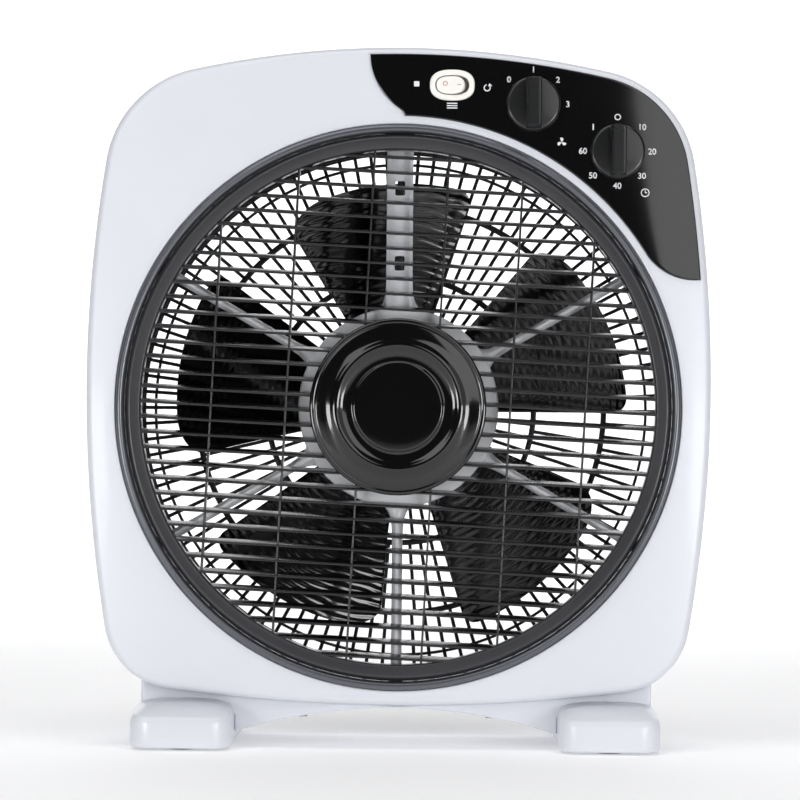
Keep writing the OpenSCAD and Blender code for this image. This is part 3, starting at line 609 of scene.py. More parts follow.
inner_edge = np.array(
    arc(panel_left_centre, panel_left_radius, math.pi, math.radians(238), 60)
    + arc((0, 0), panel_arc, math.radians(89.4), panel_right_turn, 200)[1:]
    + arc(panel_right_centre, panel_right_radius, math.pi + panel_right_turn, 1.5 * math.pi, 60)[1:]
    + [panel_right_centre + np.array([15 * mm, -panel_right_radius])]
)
inner_turns = np.arctan2(inner_edge[:, 1], inner_edge[:, 0])[::-1]
inner_radii = np.hypot(inner_edge[:, 0], inner_edge[:, 1])[::-1]


def panel_reach(turns):
    """Inner and outer radius of the panel at directions from the fan axis."""
    return (np.interp(turns, inner_turns, inner_radii),
            np.interp(turns, ring_angles, outline_radius(panel_inset)))


trial = np.linspace(inner_turns[0], inner_turns[-1], 20001)
inside = trial[np.subtract(*panel_reach(trial)) < 0]
panel_turns = inside[0] + (inside[-1] - inside[0]) * (0.5 - 0.5 * np.cos(np.linspace(0, math.pi, 261)))
near_edge = np.array([0, 0.004, 0.009, 0.015, 0.022, 0.04])
across = np.concatenate([near_edge, np.linspace(0.08, 0.92, 19), 1 - near_edge[::-1]])
inner_radius, outer_radius = panel_reach(panel_turns)
grid_radius = inner_radius[:, None] + (outer_radius - inner_radius)[:, None] * across[None, :]
grid_radius[[0, -1]] = grid_radius[[0, -1]].mean(axis=1)[:, None]
grid_x = grid_radius * np.cos(panel_turns)[:, None]
grid_z = grid_radius * np.sin(panel_turns)[:, None]
border = np.concatenate([
    np.stack([grid_x[:, 0], grid_z[:, 0]], axis=1), np.stack([grid_x[::-1, -1], grid_z[::-1, -1]], axis=1)])
border_next = np.roll(border, -1, axis=0)


def panel_surface(x, z):
    """Depth of the panel's outer face, rounded over near its border."""
    place = np.stack([np.ravel(x), np.ravel(z)], axis=1)
    way = border_next - border
    length = np.maximum((way ** 2).sum(axis=1), 1e-18)
    t = np.clip(((place[:, None] - border) * way).sum(axis=2) / length, 0, 1)
    gap = np.linalg.norm(place[:, None] - border - t[..., None] * way, axis=2).min(axis=1)
    short = np.clip(panel_round - gap, 0, panel_round)
    drop = panel_round - np.sqrt(panel_round ** 2 - short ** 2)
    return face_depth(x, z) + panel_thickness - drop.reshape(np.shape(x))


def two_skins(name, outer, inner, columns, walled):
    """A closed solid between two grids of points, with a wall along each of the walled columns."""
    count = len(outer)
    faces = []
    for row in range(0, count - columns, columns):
        for a in range(row, row + columns - 1):
            b = a + columns
            faces += [(a, b, b + 1, a + 1), (count + a, count + a + 1, count + b + 1, count + b)]
        for a in (row + column for column in walled):
            faces.append((a, a + columns, count + a + columns, count + a))
    return new_object(name, [*outer, *inner], faces)


upper, lower = (
    np.stack([grid_x, -depth, axis_height + grid_z], axis=2).reshape(-1, 3)
    for depth in (panel_surface(grid_x, grid_z), face_depth(grid_x, grid_z) - 0.1 * mm))
control_panel = two_skins("control_panel_gloss", upper, lower, len(across), (0, len(across) - 1))
cut(control_panel, control_cutters())
smooth(control_panel, 40)
piano_black = moulded("piano_black_abs", "#050506", 0.07, spread=0.02,
                      grain=4 * mm, depth=0.001 * mm, coat=0.4)
wear(control_panel, piano_black, "housing", "panel_black", "control_panel")

# ---- Panel marks ----
# White pad-printed marks: numbers round the dials, and plain symbols beside the controls. Each
# lies on the panel's face and follows its curve.
print_lift = 0.06 * mm
digit_height = 3.9 * mm
marks_radius = 22.3 * mm


def flat_mesh(name, outlines):
    """Filled shapes in the front view; each outline is a closed list of x, z."""
    vertices, faces = [], []
    for outline in outlines:
        faces.append(tuple(range(len(vertices), len(vertices) + len(outline))))
        vertices += [(x, 0.0, z) for x, z in outline]
    mesh = bpy.data.meshes.new(name)
    mesh.from_pydata(vertices, [], faces)
    return shown(name, mesh)


def digits(name, words, x, z):
    """Numbers as a filled mesh, centred at a place in the front view."""
    curve = bpy.data.curves.new(name, "FONT")
    curve.body, curve.size = words, digit_height / 0.72
    curve.align_x, curve.align_y = "CENTER", "CENTER"
    curve.offset = 0.12 * mm
    text = shown(name + "_text", curve)
    mesh = baked(text)
    bpy.data.objects.remove(text)
    mesh.transform(Matrix.Translation((x, 0, z)) @ Matrix.Rotation(math.pi / 2, 4, "X"))
    return shown(name, mesh)


def printed(obj, surface, thickness=0.05 * mm):
    """Lays a flat mark on a surface and gives it the thickness of an ink film."""
    work = bmesh.new()
    work.from_mesh(obj.data)
    bmesh.ops.triangulate(work, faces=work.faces)
    bmesh.ops.subdivide_edges(
        work, edges=[e for e in work.edges if e.calc_length() > 1.2 * mm], cuts=1, use_grid_fill=False)
    bmesh.ops.triangulate(work, faces=work.faces)
    bmesh.ops.remove_doubles(work, verts=work.verts, dist=0.002 * mm)
    for vertex in work.verts:
        depth = float(surface(np.array([vertex.co.x]), np.array([vertex.co.z]))[0])
        vertex.co.y = -depth - print_lift
        vertex.co.z += axis_height
    extruded = bmesh.ops.extrude_face_region(work, geom=work.faces[:])
    bmesh.ops.translate(work, vec=(0, thickness, 0), verts=[
        g for g in extruded["geom"] if isinstance(g, bmesh.types.BMVert)])
    bmesh.ops.recalc_face_normals(work, faces=work.faces)
    work.to_mesh(obj.data)
    work.free()


def at(x, z, outline):
    return [(x + px, z + pz) for px, pz in outline]


def turned_by(angle, outline):
    return [(x * math.cos(angle) - z * math.sin(angle), x * math.sin(angle) + z * math.cos(angle))
            for x, z in outline]


def annulus(x, z, outer, inner, start=0.0, end=360.0, count=40):
    """A ring, or part of one, as short quads."""
    turns = np.radians(np.linspace(start, end, count + 1))
    return [[(x + r * math.cos(a), z + r * math.sin(a)) for r, a in (
        (inner, a0), (outer, a0), (outer, a1), (inner, a1))] for a0, a1 in zip(turns[:-1], turns[1:])]


def bar(x0, z0, x1, z1, width):
    side = np.array([z0 - z1, x1 - x0]) / math.hypot(x1 - x0, z1 - z0) * width / 2
    return [(x0 - side[0], z0 - side[1]), (x1 - side[0], z1 - side[1]),
            (x1 + side[0], z1 + side[1]), (x0 + side[0], z0 + side[1])]


def round_the_dial(place, degrees):
    """A place beside a dial, degrees clockwise from its top."""
    a = math.radians(90 - degrees)
    return place[0] + marks_radius * math.cos(a), place[1] + marks_radius * math.sin(a)


ink_white = moulded("pad_print_white", "#e9eaec", 0.5, grain=0.4 * mm, depth=0.004 * mm)
marks = [digits(f"speed_digit_{k}", str(k), *round_the_dial(speed_place, -45 + 45 * k)) for k in range(4)]
marks += [digits(f"timer_digits_{10 * k}", str(10 * k), *round_the_dial(timer_place, 45 * k))
          for k in range(1, 7)]
hold_x, hold_z = round_the_dial(timer_place, -45)
rest_x, rest_z = round_the_dial(timer_place, 0)
still_x, still_z = rocker_place[0] - 23 * mm, rocker_place[1] + 0.8 * mm
swing_x, swing_z = rocker_place[0] + 22.5 * mm, rocker_place[1] - 1.5 * mm
slats_x, slats_z = rocker_place[0], rocker_place[1] - 13.2 * mm
vane_x, vane_z = speed_place[0] + 18.5 * mm, speed_place[1] - 24.5 * mm
clock_x, clock_z = timer_place[0] + 18 * mm, timer_place[1] - 26.5 * mm
vane = [(0.5 * mm * t, w * mm) for t, w in (
    (0.6, -0.25), (3.0, -1.1), (5.4, -0.9), (6.2, 0.3), (5.4, 1.1), (3.0, 0.7), (0.6, 0.35))]
marks += [flat_mesh("mark_" + name, outlines) for name, outlines in (
    ("timer_hold", [bar(hold_x, hold_z - 2 * mm, hold_x, hold_z + 2 * mm, 0.9 * mm)]),
    ("timer_off", annulus(rest_x, rest_z, 2.1 * mm, 1.4 * mm)),
    ("louver_still", [at(still_x, still_z, rounded_box(3.4 * mm, 3.4 * mm, 0.4 * mm, 3))]),
    ("louver_turning", annulus(swing_x, swing_z, 2.3 * mm, 1.6 * mm, 100, 390, 34) + [
        at(swing_x, swing_z, [(0.6 * mm, 0.9 * mm), (3.2 * mm, 1.4 * mm), (1.4 * mm, 2.9 * mm)])]),
    ("louver_slats", [bar(slats_x - 3.4 * mm, slats_z + rise, slats_x + 3.4 * mm, slats_z + rise, 0.75 * mm)
                      for rise in (-1.5 * mm, 0.0, 1.5 * mm)]),
    ("speed_vanes", [at(vane_x, vane_z, turned_by(a, vane)) for a in np.radians([90, 210, 330])]),
    ("timer_clock", annulus(clock_x, clock_z, 2.8 * mm, 2.2 * mm) + [
        bar(clock_x, clock_z - 0.2 * mm, clock_x, clock_z + 1.7 * mm, 0.5 * mm),
        bar(clock_x - 0.2 * mm, clock_z, clock_x + 1.3 * mm, clock_z, 0.5 * mm)]),
)]
for mark in marks:
    printed(mark, panel_surface)
    wear(mark, ink_white, "housing", "white_abs")

# ---- Louver rocker switch ----
# A snap-in switch: an oval ivory bezel on the panel, and a paddle that is pressed on its left,
# where a small red ring is printed, with a short dash on its raised side.
ivory_nylon = moulded("ivory_nylon", "#fbf9f2", 0.3, depth=0.004 * mm, coat=0.2)
bezel_low, bezel_high = box_of("rocker_housing")
bezel_front, bezel_back = -bezel_low.y, -bezel_high.y
bezel_width, bezel_height = bezel_high.x - bezel_low.x, bezel_high.z - bezel_low.z


def rocker_loop(width, height, depth):
    """One loop of the switch in the front view; depth is a number or a function of x."""
    return [(rocker_place[0] + x, -(depth(x) if callable(depth) else depth),
             axis_height + rocker_place[1] + z) for x, z in oval(width, height)]


mouth_width, mouth_height = 21.8 * mm, 12.9 * mm
body_width, body_height = 24.6 * mm, 16 * mm
under_bezel, mouth_deep = 2.9 * mm, 14 * mm
bezel_loops = [
    rocker_loop(bezel_width - 2 * inset * mm, bezel_height - 2 * inset * mm, bezel_front - back * mm)
    for inset, back in ((0, under_bezel / mm), (0, 1.2), (0.2, 0.55), (0.7, 0.15), (1.4, 0))
]
bezel_loops += [
    rocker_loop(mouth_width + 2 * inset * mm, mouth_height + 2 * inset * mm, bezel_front - back * mm)
    for inset, back in ((0.5, 0.05), (0.1, 0.3), (0, 0.8), (0, mouth_deep / mm))
]
bezel_loops += [rocker_loop(body_width, body_height, bezel_front - back) for back in (mouth_deep, under_bezel)]
rocker_bezel = loft("rocker_bezel", bezel_loops, wrap=True)
smooth(rocker_bezel, 40)
rocker_body = block("rocker_body", *rocker_place, bezel_back, bezel_front - mouth_deep,
                    oval(body_width, body_height))
wear(rocker_bezel, ivory_nylon, "housing", "rocker_white", "rocker_housing")
wear(rocker_body, ivory_nylon, "housing", "rocker_white")

pivot = Vector(joints["rocker_tip"]["pos_m"])
paddle_width, paddle_height = 18.2 * mm, 11.5 * mm
paddle_tilt = math.radians(10)
pressed = Matrix.Translation(pivot) @ Matrix.Rotation(-paddle_tilt, 4, "Z") @ Matrix.Translation(-pivot)


def paddle_depth(x):
    """The level paddle's face, a shallow hollow that rises from its middle to both ends."""
    hollow = math.sqrt(x * x + (1.5 * mm) ** 2) - 1.5 * mm
    return bezel_front + math.tan(paddle_tilt) * hollow


paddle_loops = [rocker_loop(paddle_width - 0.6 * mm, paddle_height - 0.2 * mm, bezel_front - 6 * mm)]
for inset, back in ((0.0, 0.9), (0.15, 0.4), (0.45, 0.1), (0.9, 0.0), (2.2, 0.0), (3.6, 0.0),
                    (4.8, 0.0), (5.6, 0.0)):
    paddle_loops.append(rocker_loop(
        paddle_width - 2 * inset * mm, paddle_height - 2 * inset * mm,
        lambda x, back=back: paddle_depth(x) - back * mm))
paddle = loft("louver_rocker_paddle", paddle_loops, caps=True)
paddle.data.transform(pressed)
smooth(paddle, 50)
wear(paddle, ivory_nylon, "rocker", "rocker_white", "louver_rocker")


def paddle_surface(x, z):
    depths = [paddle_depth(float(value) - rocker_place[0]) for value in np.ravel(x)]
    return np.array(depths).reshape(np.shape(x))


ink_red = moulded("pad_print_red", "#b4544a", 0.5, grain=0.4 * mm, depth=0.004 * mm)
ink_grey = moulded("pad_print_grey", "#8f8077", 0.5, grain=0.4 * mm, depth=0.004 * mm)
off_ring = flat_mesh("rocker_off_ring", annulus(
    rocker_place[0] - 3.3 * mm, rocker_place[1] + 0.9 * mm, 1.5 * mm, 1.1 * mm))
on_dash = flat_mesh("rocker_on_dash", [bar(
    rocker_place[0] + 4.8 * mm, rocker_place[1], rocker_place[0] + 7.4 * mm, rocker_place[1], 0.5 * mm)])
for mark, ink in ((off_ring, ink_red), (on_dash, ink_grey)):
    printed(mark, paddle_surface, 0.04 * mm)
    mark.data.transform(pressed)
    wear(mark, ink, "rocker", "rocker_white")

# ---- Knobs ----
# Two satin black moulded knobs: a disc with a rolled edge and a tall grip bar across it, with
# ribs along the bar. Each is pressed on its spindle, which stands in a bushing with a hex nut.
satin_black = moulded("satin_black_abs", "#0e0f11", 0.3, grain=0.9 * mm, depth=0.004 * mm, coat=0.25)


def knob(name, place, body, *nodes):
    """A disc turned about its spindle, with a grip bar and three ribs joined to it."""
    low, high = box_of(nodes[0])
    back, front, radius = -high.y, -low.y, (high.x - low.x) / 2
    socket_radius, socket_deep = 9.5 * mm, 4 * mm
    disc_front, roll = back + 6 * mm, 2 * mm
    flat = radius - roll
    profile = [(0.0, back + socket_deep), (socket_radius, back + socket_deep), (socket_radius, back),
               (radius - 0.3 * mm, back), (radius, back + 0.3 * mm)]
    profile += [(flat + roll * math.cos(a), disc_front - roll + roll * math.sin(a)) for a in quarter(6)]
    profile += [(flat * (1 - t), disc_front + 1.0 * mm * (1 - (1 - t) ** 2)) for t in (0.25, 0.5, 0.75, 1.0)]
    disc = lathe(name, profile, place, count=96, wrap=False)
    bar_half, bar_reach = 5.4 * mm, radius - 0.9 * mm
    bar_end = math.sqrt(bar_reach ** 2 - bar_half ** 2)

    def bar_outline(inset):
        r = bar_reach - inset
        spread = math.asin((bar_half - inset) / r)
        upper = [(r * math.sin(a), r * math.cos(a)) for a in np.linspace(spread, -spread, 13)]
        return upper + [(-x, -z) for x, z in upper]

    loops = [
        [(place[0] + x, -f, axis_height + place[1] + z) for x, z in bar_outline(inset * mm)]
        for f, inset in ((disc_front - 1 * mm, 0.0), (front - 5 * mm, 0.35), (front - 1.6 * mm, 0.5),
                         (front - 0.75 * mm, 0.75), (front - 0.3 * mm, 1.2), (front - 0.2 * mm, 1.9))]
    rib_outline = rounded_box(0.9 * mm, 2 * bar_end - 3 * mm, 0.4 * mm, 3)
    ribs = [block("rib", place[0] + x, place[1], front - 1.2 * mm, rib_front, rib_outline)
            for x, rib_front in ((-2.2 * mm, front - 0.05 * mm), (0.0, front), (2.2 * mm, front - 0.05 * mm))]
    cut(disc, [loft("grip", loops, caps=True), *ribs], "UNION")
    smooth(disc, 35)
    wear(disc, satin_black, body, "louver_black", *nodes)


knob("speed_knob_satin", speed_place, "speed_dial", "speed_knob")
knob("timer_knob_satin", timer_place, "timer_dial", "timer_knob")

# ---- Louver ----
# A turning ring with a conical face, moulded in one with 34 slats and six thin uprights. The
# slats run to a small hub that a glossy black cap closes.
louver_high = box_of("louver_grille")[1]
louver_outer = louver_high.x
louver_inner = louver_outer - 10.6 * mm
slat_back = -louver_high.y
slat_front = slat_back + 12 * mm
louver_rest = math.radians(-2.75)
hub_radius = 55 * mm
louver_ring = lathe("louver_ring", filleted([
    (louver_inner, slat_back, 0.6 * mm),
    (louver_outer, slat_back, 0.6 * mm),
    (louver_outer, cover_front - 1.6 * mm, 1.2 * mm),
    (louver_outer - 2.6 * mm, slat_front + 0.7 * mm, 1.8 * mm),
    (louver_inner + 1.0 * mm, slat_front - 0.2 * mm, 1.2 * mm),
    (louver_inner, slat_front - 2 * mm, 0.8 * mm),
]), count=360)
smooth(louver_ring, 45)
satin_grey_black = moulded("satin_grey_black_abs", "#303034", 0.34,
                           grain=1.2 * mm, depth=0.004 * mm, coat=0.15)
wear(louver_ring, satin_grey_black, "louver", "louver_black", "louver_grille")


def geometry_group(name, sockets):
    """A geometry group with named inputs and one geometry output, and its input node's sockets."""
    tree = bpy.data.node_groups.new(name, "GeometryNodeTree")
    for label, kind in sockets:
        tree.interface.new_socket(label, in_out="INPUT", socket_type="NodeSocket" + kind)
    tree.interface.new_socket("Geometry", in_out="OUTPUT", socket_type="NodeSocketGeometry")
    return tree, tree.nodes.new("NodeGroupInput").outputs


def grown(name, tree, settings, points=((0.0, 0.0, 0.0),)):
    """The plain mesh that a geometry group grows from points with these settings."""
    mesh = bpy.data.meshes.new(name + "_points")
    mesh.from_pydata([tuple(p) for p in points], [], [])
    seed = shown(name + "_points", mesh)
    modifier = seed.modifiers.new("grow", "NODES")
    modifier.node_group = tree
    identifiers = {item.name: item.identifier for item in tree.interface.items_tree
                   if item.in_out == "INPUT"}
    for label, value in settings.items():
        modifier[identifiers[label]] = value
    seed.update_tag()
    bpy.context.view_layer.update()
    result = baked(seed)
    bpy.data.objects.remove(seed)
    return shown(name, result)


def math_node(tree, operation, a, b=0.0):
    return add(tree, "ShaderNodeMath", {"operation": operation}, {0: a, 1: b}).outputs[0]


def vector_node(tree, **parts):
    return add(tree, "ShaderNodeCombineXYZ", inputs=parts).outputs[0]


def solid_along(tree, line, profile):
    """A closed solid drawn along a line."""
    return add(tree, "GeometryNodeCurveToMesh", inputs={
        "Curve": line.outputs[0], "Fill Caps": True, "Profile Curve": profile}).outputs[0]


def dressed_output(tree, instances, material):
    """Ends a geometry group: its instances become one mesh and take the material."""
    real = add(tree, "GeometryNodeRealizeInstances", inputs={"Geometry": instances.outputs[0]})
    dressed = add(tree, "GeometryNodeSetMaterial", inputs={"Geometry": real.outputs[0], "Material": material})
    add(tree, "NodeGroupOutput", inputs={"Geometry": dressed.outputs[0]})


def edge_profile(tree, width, height, radius):
    """A rectangle with round corners, to be drawn along a line."""
    outline = add(tree, "GeometryNodeCurvePrimitiveQuadrilateral", inputs={"Width": width, "Height": height})
    return add(tree, "GeometryNodeFilletCurve", {"mode": "POLY"}, {
        "Curve": outline.outputs[0], "Radius": radius, "Count": 3}).outputs[0]


slat_rows, given = geometry_group("slat_rows", [
    ("Count", "Int"), ("Pitch", "Float"), ("Reach", "Float"), ("Thickness", "Float"),
    ("Depth", "Float"), ("Tilt", "Float"), ("Material", "Material")])
lowest_row = math_node(slat_rows, "MULTIPLY", math_node(
    slat_rows, "SUBTRACT", 1.0, given["Count"]), math_node(slat_rows, "MULTIPLY", given["Pitch"], 0.5))
slat_rows_line = add(slat_rows, "GeometryNodeMeshLine", inputs={
    "Count": given["Count"], "Start Location": vector_node(slat_rows, Z=lowest_row),
    "Offset": vector_node(slat_rows, Z=given["Pitch"])})
row_height = add(slat_rows, "ShaderNodeSeparateXYZ", inputs={
    "Vector": slat_rows.nodes.new("GeometryNodeInputPosition").outputs[0]}).outputs["Z"]
half_chord = math_node(slat_rows, "SQRT", math_node(
    slat_rows, "SUBTRACT", math_node(slat_rows, "MULTIPLY", given["Reach"], given["Reach"]),
    math_node(slat_rows, "MULTIPLY", row_height, row_height)))
slat_line = add(slat_rows, "GeometryNodeCurvePrimitiveLine", inputs={
    "Start": (-1.0, 0, 0), "End": (1.0, 0, 0)})
slat_edge = edge_profile(slat_rows, given["Depth"], given["Thickness"],
                         math_node(slat_rows, "MULTIPLY", given["Thickness"], 0.38))
slat_instances = add(slat_rows, "GeometryNodeInstanceOnPoints", inputs={
    "Points": slat_rows_line.outputs[0], "Instance": solid_along(slat_rows, slat_line, slat_edge),
    "Rotation": vector_node(slat_rows, X=given["Tilt"]),
    "Scale": vector_node(slat_rows, X=half_chord, Y=1.0, Z=1.0)})
dressed_output(slat_rows, slat_instances, given["Material"])

slat_black = moulded("slat_black_abs", "#131316", 0.28, grain=1.2 * mm, depth=0.004 * mm, coat=0.25)
slat_pitch = 9.77 * mm
slat_middle = slat_back + 6 * mm
slat_reach = louver_inner + 1.5 * mm
slats = grown("louver_slats", slat_rows, {
    "Count": 34, "Pitch": slat_pitch, "Reach": slat_reach, "Thickness": 1.6 * mm,
    "Depth": 11 * mm, "Tilt": math.radians(10), "Material": slat_black})
uprights = grown("louver_uprights", slat_rows, {
    "Count": 6, "Pitch": 48.3 * mm, "Reach": slat_reach, "Thickness": 1.4 * mm,
    "Depth": 8 * mm, "Tilt": 0.0, "Material": slat_black})
uprights.data.transform(Matrix.Rotation(math.pi / 2, 4, "Y"))
for rows in (slats, uprights):
    rows.data.transform(
        Matrix.Translation((0, -slat_middle, axis_height)) @ Matrix.Rotation(-louver_rest, 4, "Y"))
    cut(rows, [peg(0, 0, hub_radius - 1 * mm, slat_back - 5 * mm, slat_front + 5 * mm)])
    smooth(rows, 50)
    wear(rows, slat_black, "louver", "louver_black")

hub_front = slat_front - 0.4 * mm
hub_floor, hub_boss, hub_bore = slat_back + 2.5 * mm, slat_back + 8 * mm, 3.52 * mm
louver_hub = lathe("louver_hub", filleted([
    (9 * mm, hub_floor, 0.8 * mm),
    (9 * mm, hub_boss, 0.5 * mm),
    (hub_bore, hub_boss, 0.2 * mm),
    (hub_bore, slat_back, 0.2 * mm),
    (hub_radius, slat_back, 0.8 * mm),
    (hub_radius, hub_front, 0.4 * mm),
    (hub_radius - 2.5 * mm, hub_front, 0.4 * mm),
    (hub_radius - 2.5 * mm, hub_floor, 1.0 * mm),
]), count=120)
smooth(louver_hub, 45)
wear(louver_hub, slat_black, "louver", "louver_black")

cap_low, cap_high = box_of("louver_cap")
cap_radius, cap_front = cap_high.x, -cap_low.y
cap_rim = cap_front - 5.4 * mm
cap_profile = [(r * mm, cap_rim + f * mm) for r, f in (
    (0, 2.2), (50.6, 1.2), (50.6, -4), (52.2, -4), (52.2, -0.05))]
cap_profile += [(cap_radius - 0.3 * mm, cap_rim - 0.05 * mm), (cap_radius, cap_rim + 0.25 * mm)]
cap_profile += [(r * mm, cap_rim + f * mm) for r, f in (
    (57.0, 1.0), (56.7, 1.7), (56.0, 2.2), (55.0, 2.4), (54.5, 2.35), (54.1, 2.1), (53.7, 2.1), (53.3, 2.45),
    (52.4, 2.7), (48.0, 3.1), (44.5, 3.6), (43.2, 4.1), (42.2, 4.75), (41.2, 5.2), (40.0, 5.4), (38.8, 5.2),
    (37.8, 4.7), (36.8, 4.1), (35.4, 3.6), (33.0, 3.3), (31.0, 3.2), (29.8, 3.25), (29.2, 3.5), (28.9, 4.0),
    (28.6, 4.4), (28.1, 4.6), (27.4, 4.65), (20.0, 4.7), (10.0, 4.75), (0, 4.75))]
louver_cap = lathe("louver_cap_gloss", cap_profile, count=240, wrap=False)
smooth(louver_cap, 50)
wear(louver_cap, piano_black, "louver", "panel_black", "louver_cap")

# ---- Louver bracket ----
# A grey ABS spider screwed behind the opening. Five ridged spokes and a wider channel for the
# lead, with raised rims and clip windows, carry the plate that the louver's motor hangs from.
bracket_low, bracket_high = box_of("louver_bracket")
bracket_back, plate_front = -bracket_high.y, -bracket_low.y
plate_radius = 65 * mm
bracket_ring = opening_radius + 4 * mm
bracket_screws = centres(solids("bracket_screws"))
bracket = lathe("louver_bracket_grey", filleted([
    (plate_radius - 3 * mm, bracket_back, 0.5 * mm),
    (plate_radius, bracket_back, 0.5 * mm),
    (plate_radius, plate_front, 1.6 * mm),
    (6 * mm, plate_front, 0.3 * mm),
    (6 * mm, plate_front - 3 * mm, 0.3 * mm),
    (plate_radius - 3 * mm, plate_front - 3 * mm, 0.8 * mm),
]), count=240)


def spoke_outline(angle, half, root, tip):
    """Front view of a spoke that flares into the plate at its root and into the ring at its tip."""
    r = np.linspace(plate_radius - 3 * mm, bracket_ring - 6 * mm, 70)
    w = half + root * np.exp((plate_radius - r) / (5 * mm)) + tip * np.exp((r - r[-1]) / (5 * mm))
    return turned_by(angle, list(zip(r, w)) + list(zip(r[::-1], -w[::-1])))


def ridge(name, angle, half, root, tip, back, height):
    """A spoke with a ridged front: its outline narrows over the last part of its height."""
    return loft(name, [
        [(x, -back - height * part, axis_height + z)
         for x, z in spoke_outline(angle, half * share, root * share, tip * share)]
        for part, share in ((0.0, 1.0), (0.55, 1.0), (0.8, 0.72), (1.0, 0.28))], caps=True)


right = math.pi / 2
spoke_back = bracket_back + 0.1 * mm
joined = [hoop("ring", opening_radius - 6 * mm, bracket_ring, bracket_back, bracket_back + 3 * mm,
               (0.4 * mm, 0.6 * mm))]
joined += [ridge("spoke", math.radians(a), 3 * mm, 4 * mm, 3 * mm, spoke_back, 8.9 * mm)
           for a in (30, 150, 210, 330)]
joined.append(ridge("spoke", -right, 3.4 * mm, 5 * mm, 3 * mm, spoke_back, 8.9 * mm))
joined.append(block("channel", 0, 0, spoke_back, spoke_back + 3 * mm,
                    spoke_outline(right, 8.5 * mm, 4 * mm, 3 * mm)))
rim_middle = (plate_radius + opening_radius) / 2 - 2 * mm
rim_outline = rounded_box(2 * mm, opening_radius - plate_radius + 1 * mm, 0.6 * mm, 3)
joined += [block("rim", x, rim_middle, bracket_back + 1 * mm, bracket_back + 9 * mm, rim_outline)
           for x in (-7.5 * mm, 7.5 * mm)]
joined += [peg(x, z, 4.4 * mm, bracket_back + 0.2 * mm, bracket_back + 2.9 * mm) for x, z in bracket_screws]
joined += [peg(x, z, 4 * mm, plate_front - 4.5 * mm, plate_front - 0.5 * mm)
           for x, z in centres(solids("louver_motor_screws"))]
cut(bracket, joined, "UNION")
holes = [peg(x, z, screw_hole, bracket_back - 1 * mm, bracket_back + 4 * mm) for x, z in bracket_screws]
clip_window = rounded_box(6.4 * mm, 9.5 * mm, 1 * mm, 3)
holes += [block("window", 0, r, bracket_back - 1 * mm, bracket_back + 3.5 * mm, clip_window)
          for r in (94 * mm, 143 * mm)]
cut(bracket, holes)
smooth(bracket, 38)
# The grey is painted almost white, lighter than the real part: painted light that makes up for the shade the
# louver's slats cast on the bracket.
grey_abs = moulded("grey_abs_moulded", "#f2f3f7", 0.28, grain=1.5 * mm, depth=0.01 * mm, coat=0.2)
wear(bracket, grey_abs, "housing", "grey_abs", "louver_bracket")

# ---- Fan ----
# Five glossy black blades moulded in one with their hub. Each is twisted and cambered, its
# leading corner is cut well back, and the thin skin shows the ripple of the mould.
blades_low, blades_high = box_of("fan_blades")
blade_middle = -(blades_low.y + blades_high.y) / 2
tip_radius = (blades_high.z - blades_low.z) / 2
fan_hub_radius = 36 * mm
blade_count, first_blade = 5, math.radians(96.5)
half_span = math.radians(25)
lead_round, trail_round = math.radians(12), math.radians(4)
lead_low, lead_high, trail_drop = 130 * mm, 147 * mm, 9 * mm
root_pitch, pitch_loss = 25, 8.3


def blade_tip(angle):
    """Radius of the blade's end; angle is from its middle line, positive towards its front edge."""
    lead_start, trail_start = half_span - lead_round, -half_span + trail_round
    if angle > lead_start:
        bow = math.sqrt(max(0.0, 1 - ((angle - lead_start) / lead_round) ** 2))
        return lead_low + (lead_high - lead_low) * bow
    grow = lead_high + (tip_radius - lead_high) * (lead_start - angle) / (lead_start - trail_start)
    if angle < trail_start:
        return grow - trail_drop * (1 - math.sqrt(max(0.0, 1 - ((trail_start - angle) / trail_round) ** 2)))
    return grow


def blade_mesh(middle_line):
    """One blade about its middle line, as a solid between its front and its back skin."""
    spans, reaches = 45, 31
    share = 0.5 - 0.5 * np.cos(np.linspace(0, math.pi, spans))
    root = fan_hub_radius - 2 * mm
    skins = {1: [], -1: []}
    for i, angle in enumerate(half_span - 2 * half_span * share):
        tip = min(blade_tip(angle), tip_radius - 0.05 * mm)
        for j in range(reaches):
            t = j / (reaches - 1)
            if j > reaches // 2:
                t = 0.5 - 0.5 * math.cos(math.pi * t)
            r = root + (tip - root) * t
            pitch = math.radians(
                root_pitch - pitch_loss * (r - fan_hub_radius) / (tip_radius - fan_hub_radius))
            camber = 3 * mm * (1 - (angle / half_span) ** 2) * t * (1 - 0.5 * t)
            depth = blade_middle + r * math.sin(angle) * math.tan(pitch) * 0.97 - camber + 1 * mm * t
            thick = 0.0
            if 0 < i < spans - 1 and j < reaches - 1:
                thick = (1.25 - 0.5 * t) * mm * min(1.0, 3.2 * math.sqrt(share[i] * (1 - share[i])))
            x, z = r * math.cos(middle_line + angle), r * math.sin(middle_line + angle)
            for side in (1, -1):
                skins[side].append((x, -(depth + side * thick), axis_height + z))
    return two_skins("blade", skins[1], skins[-1], reaches, (0,))


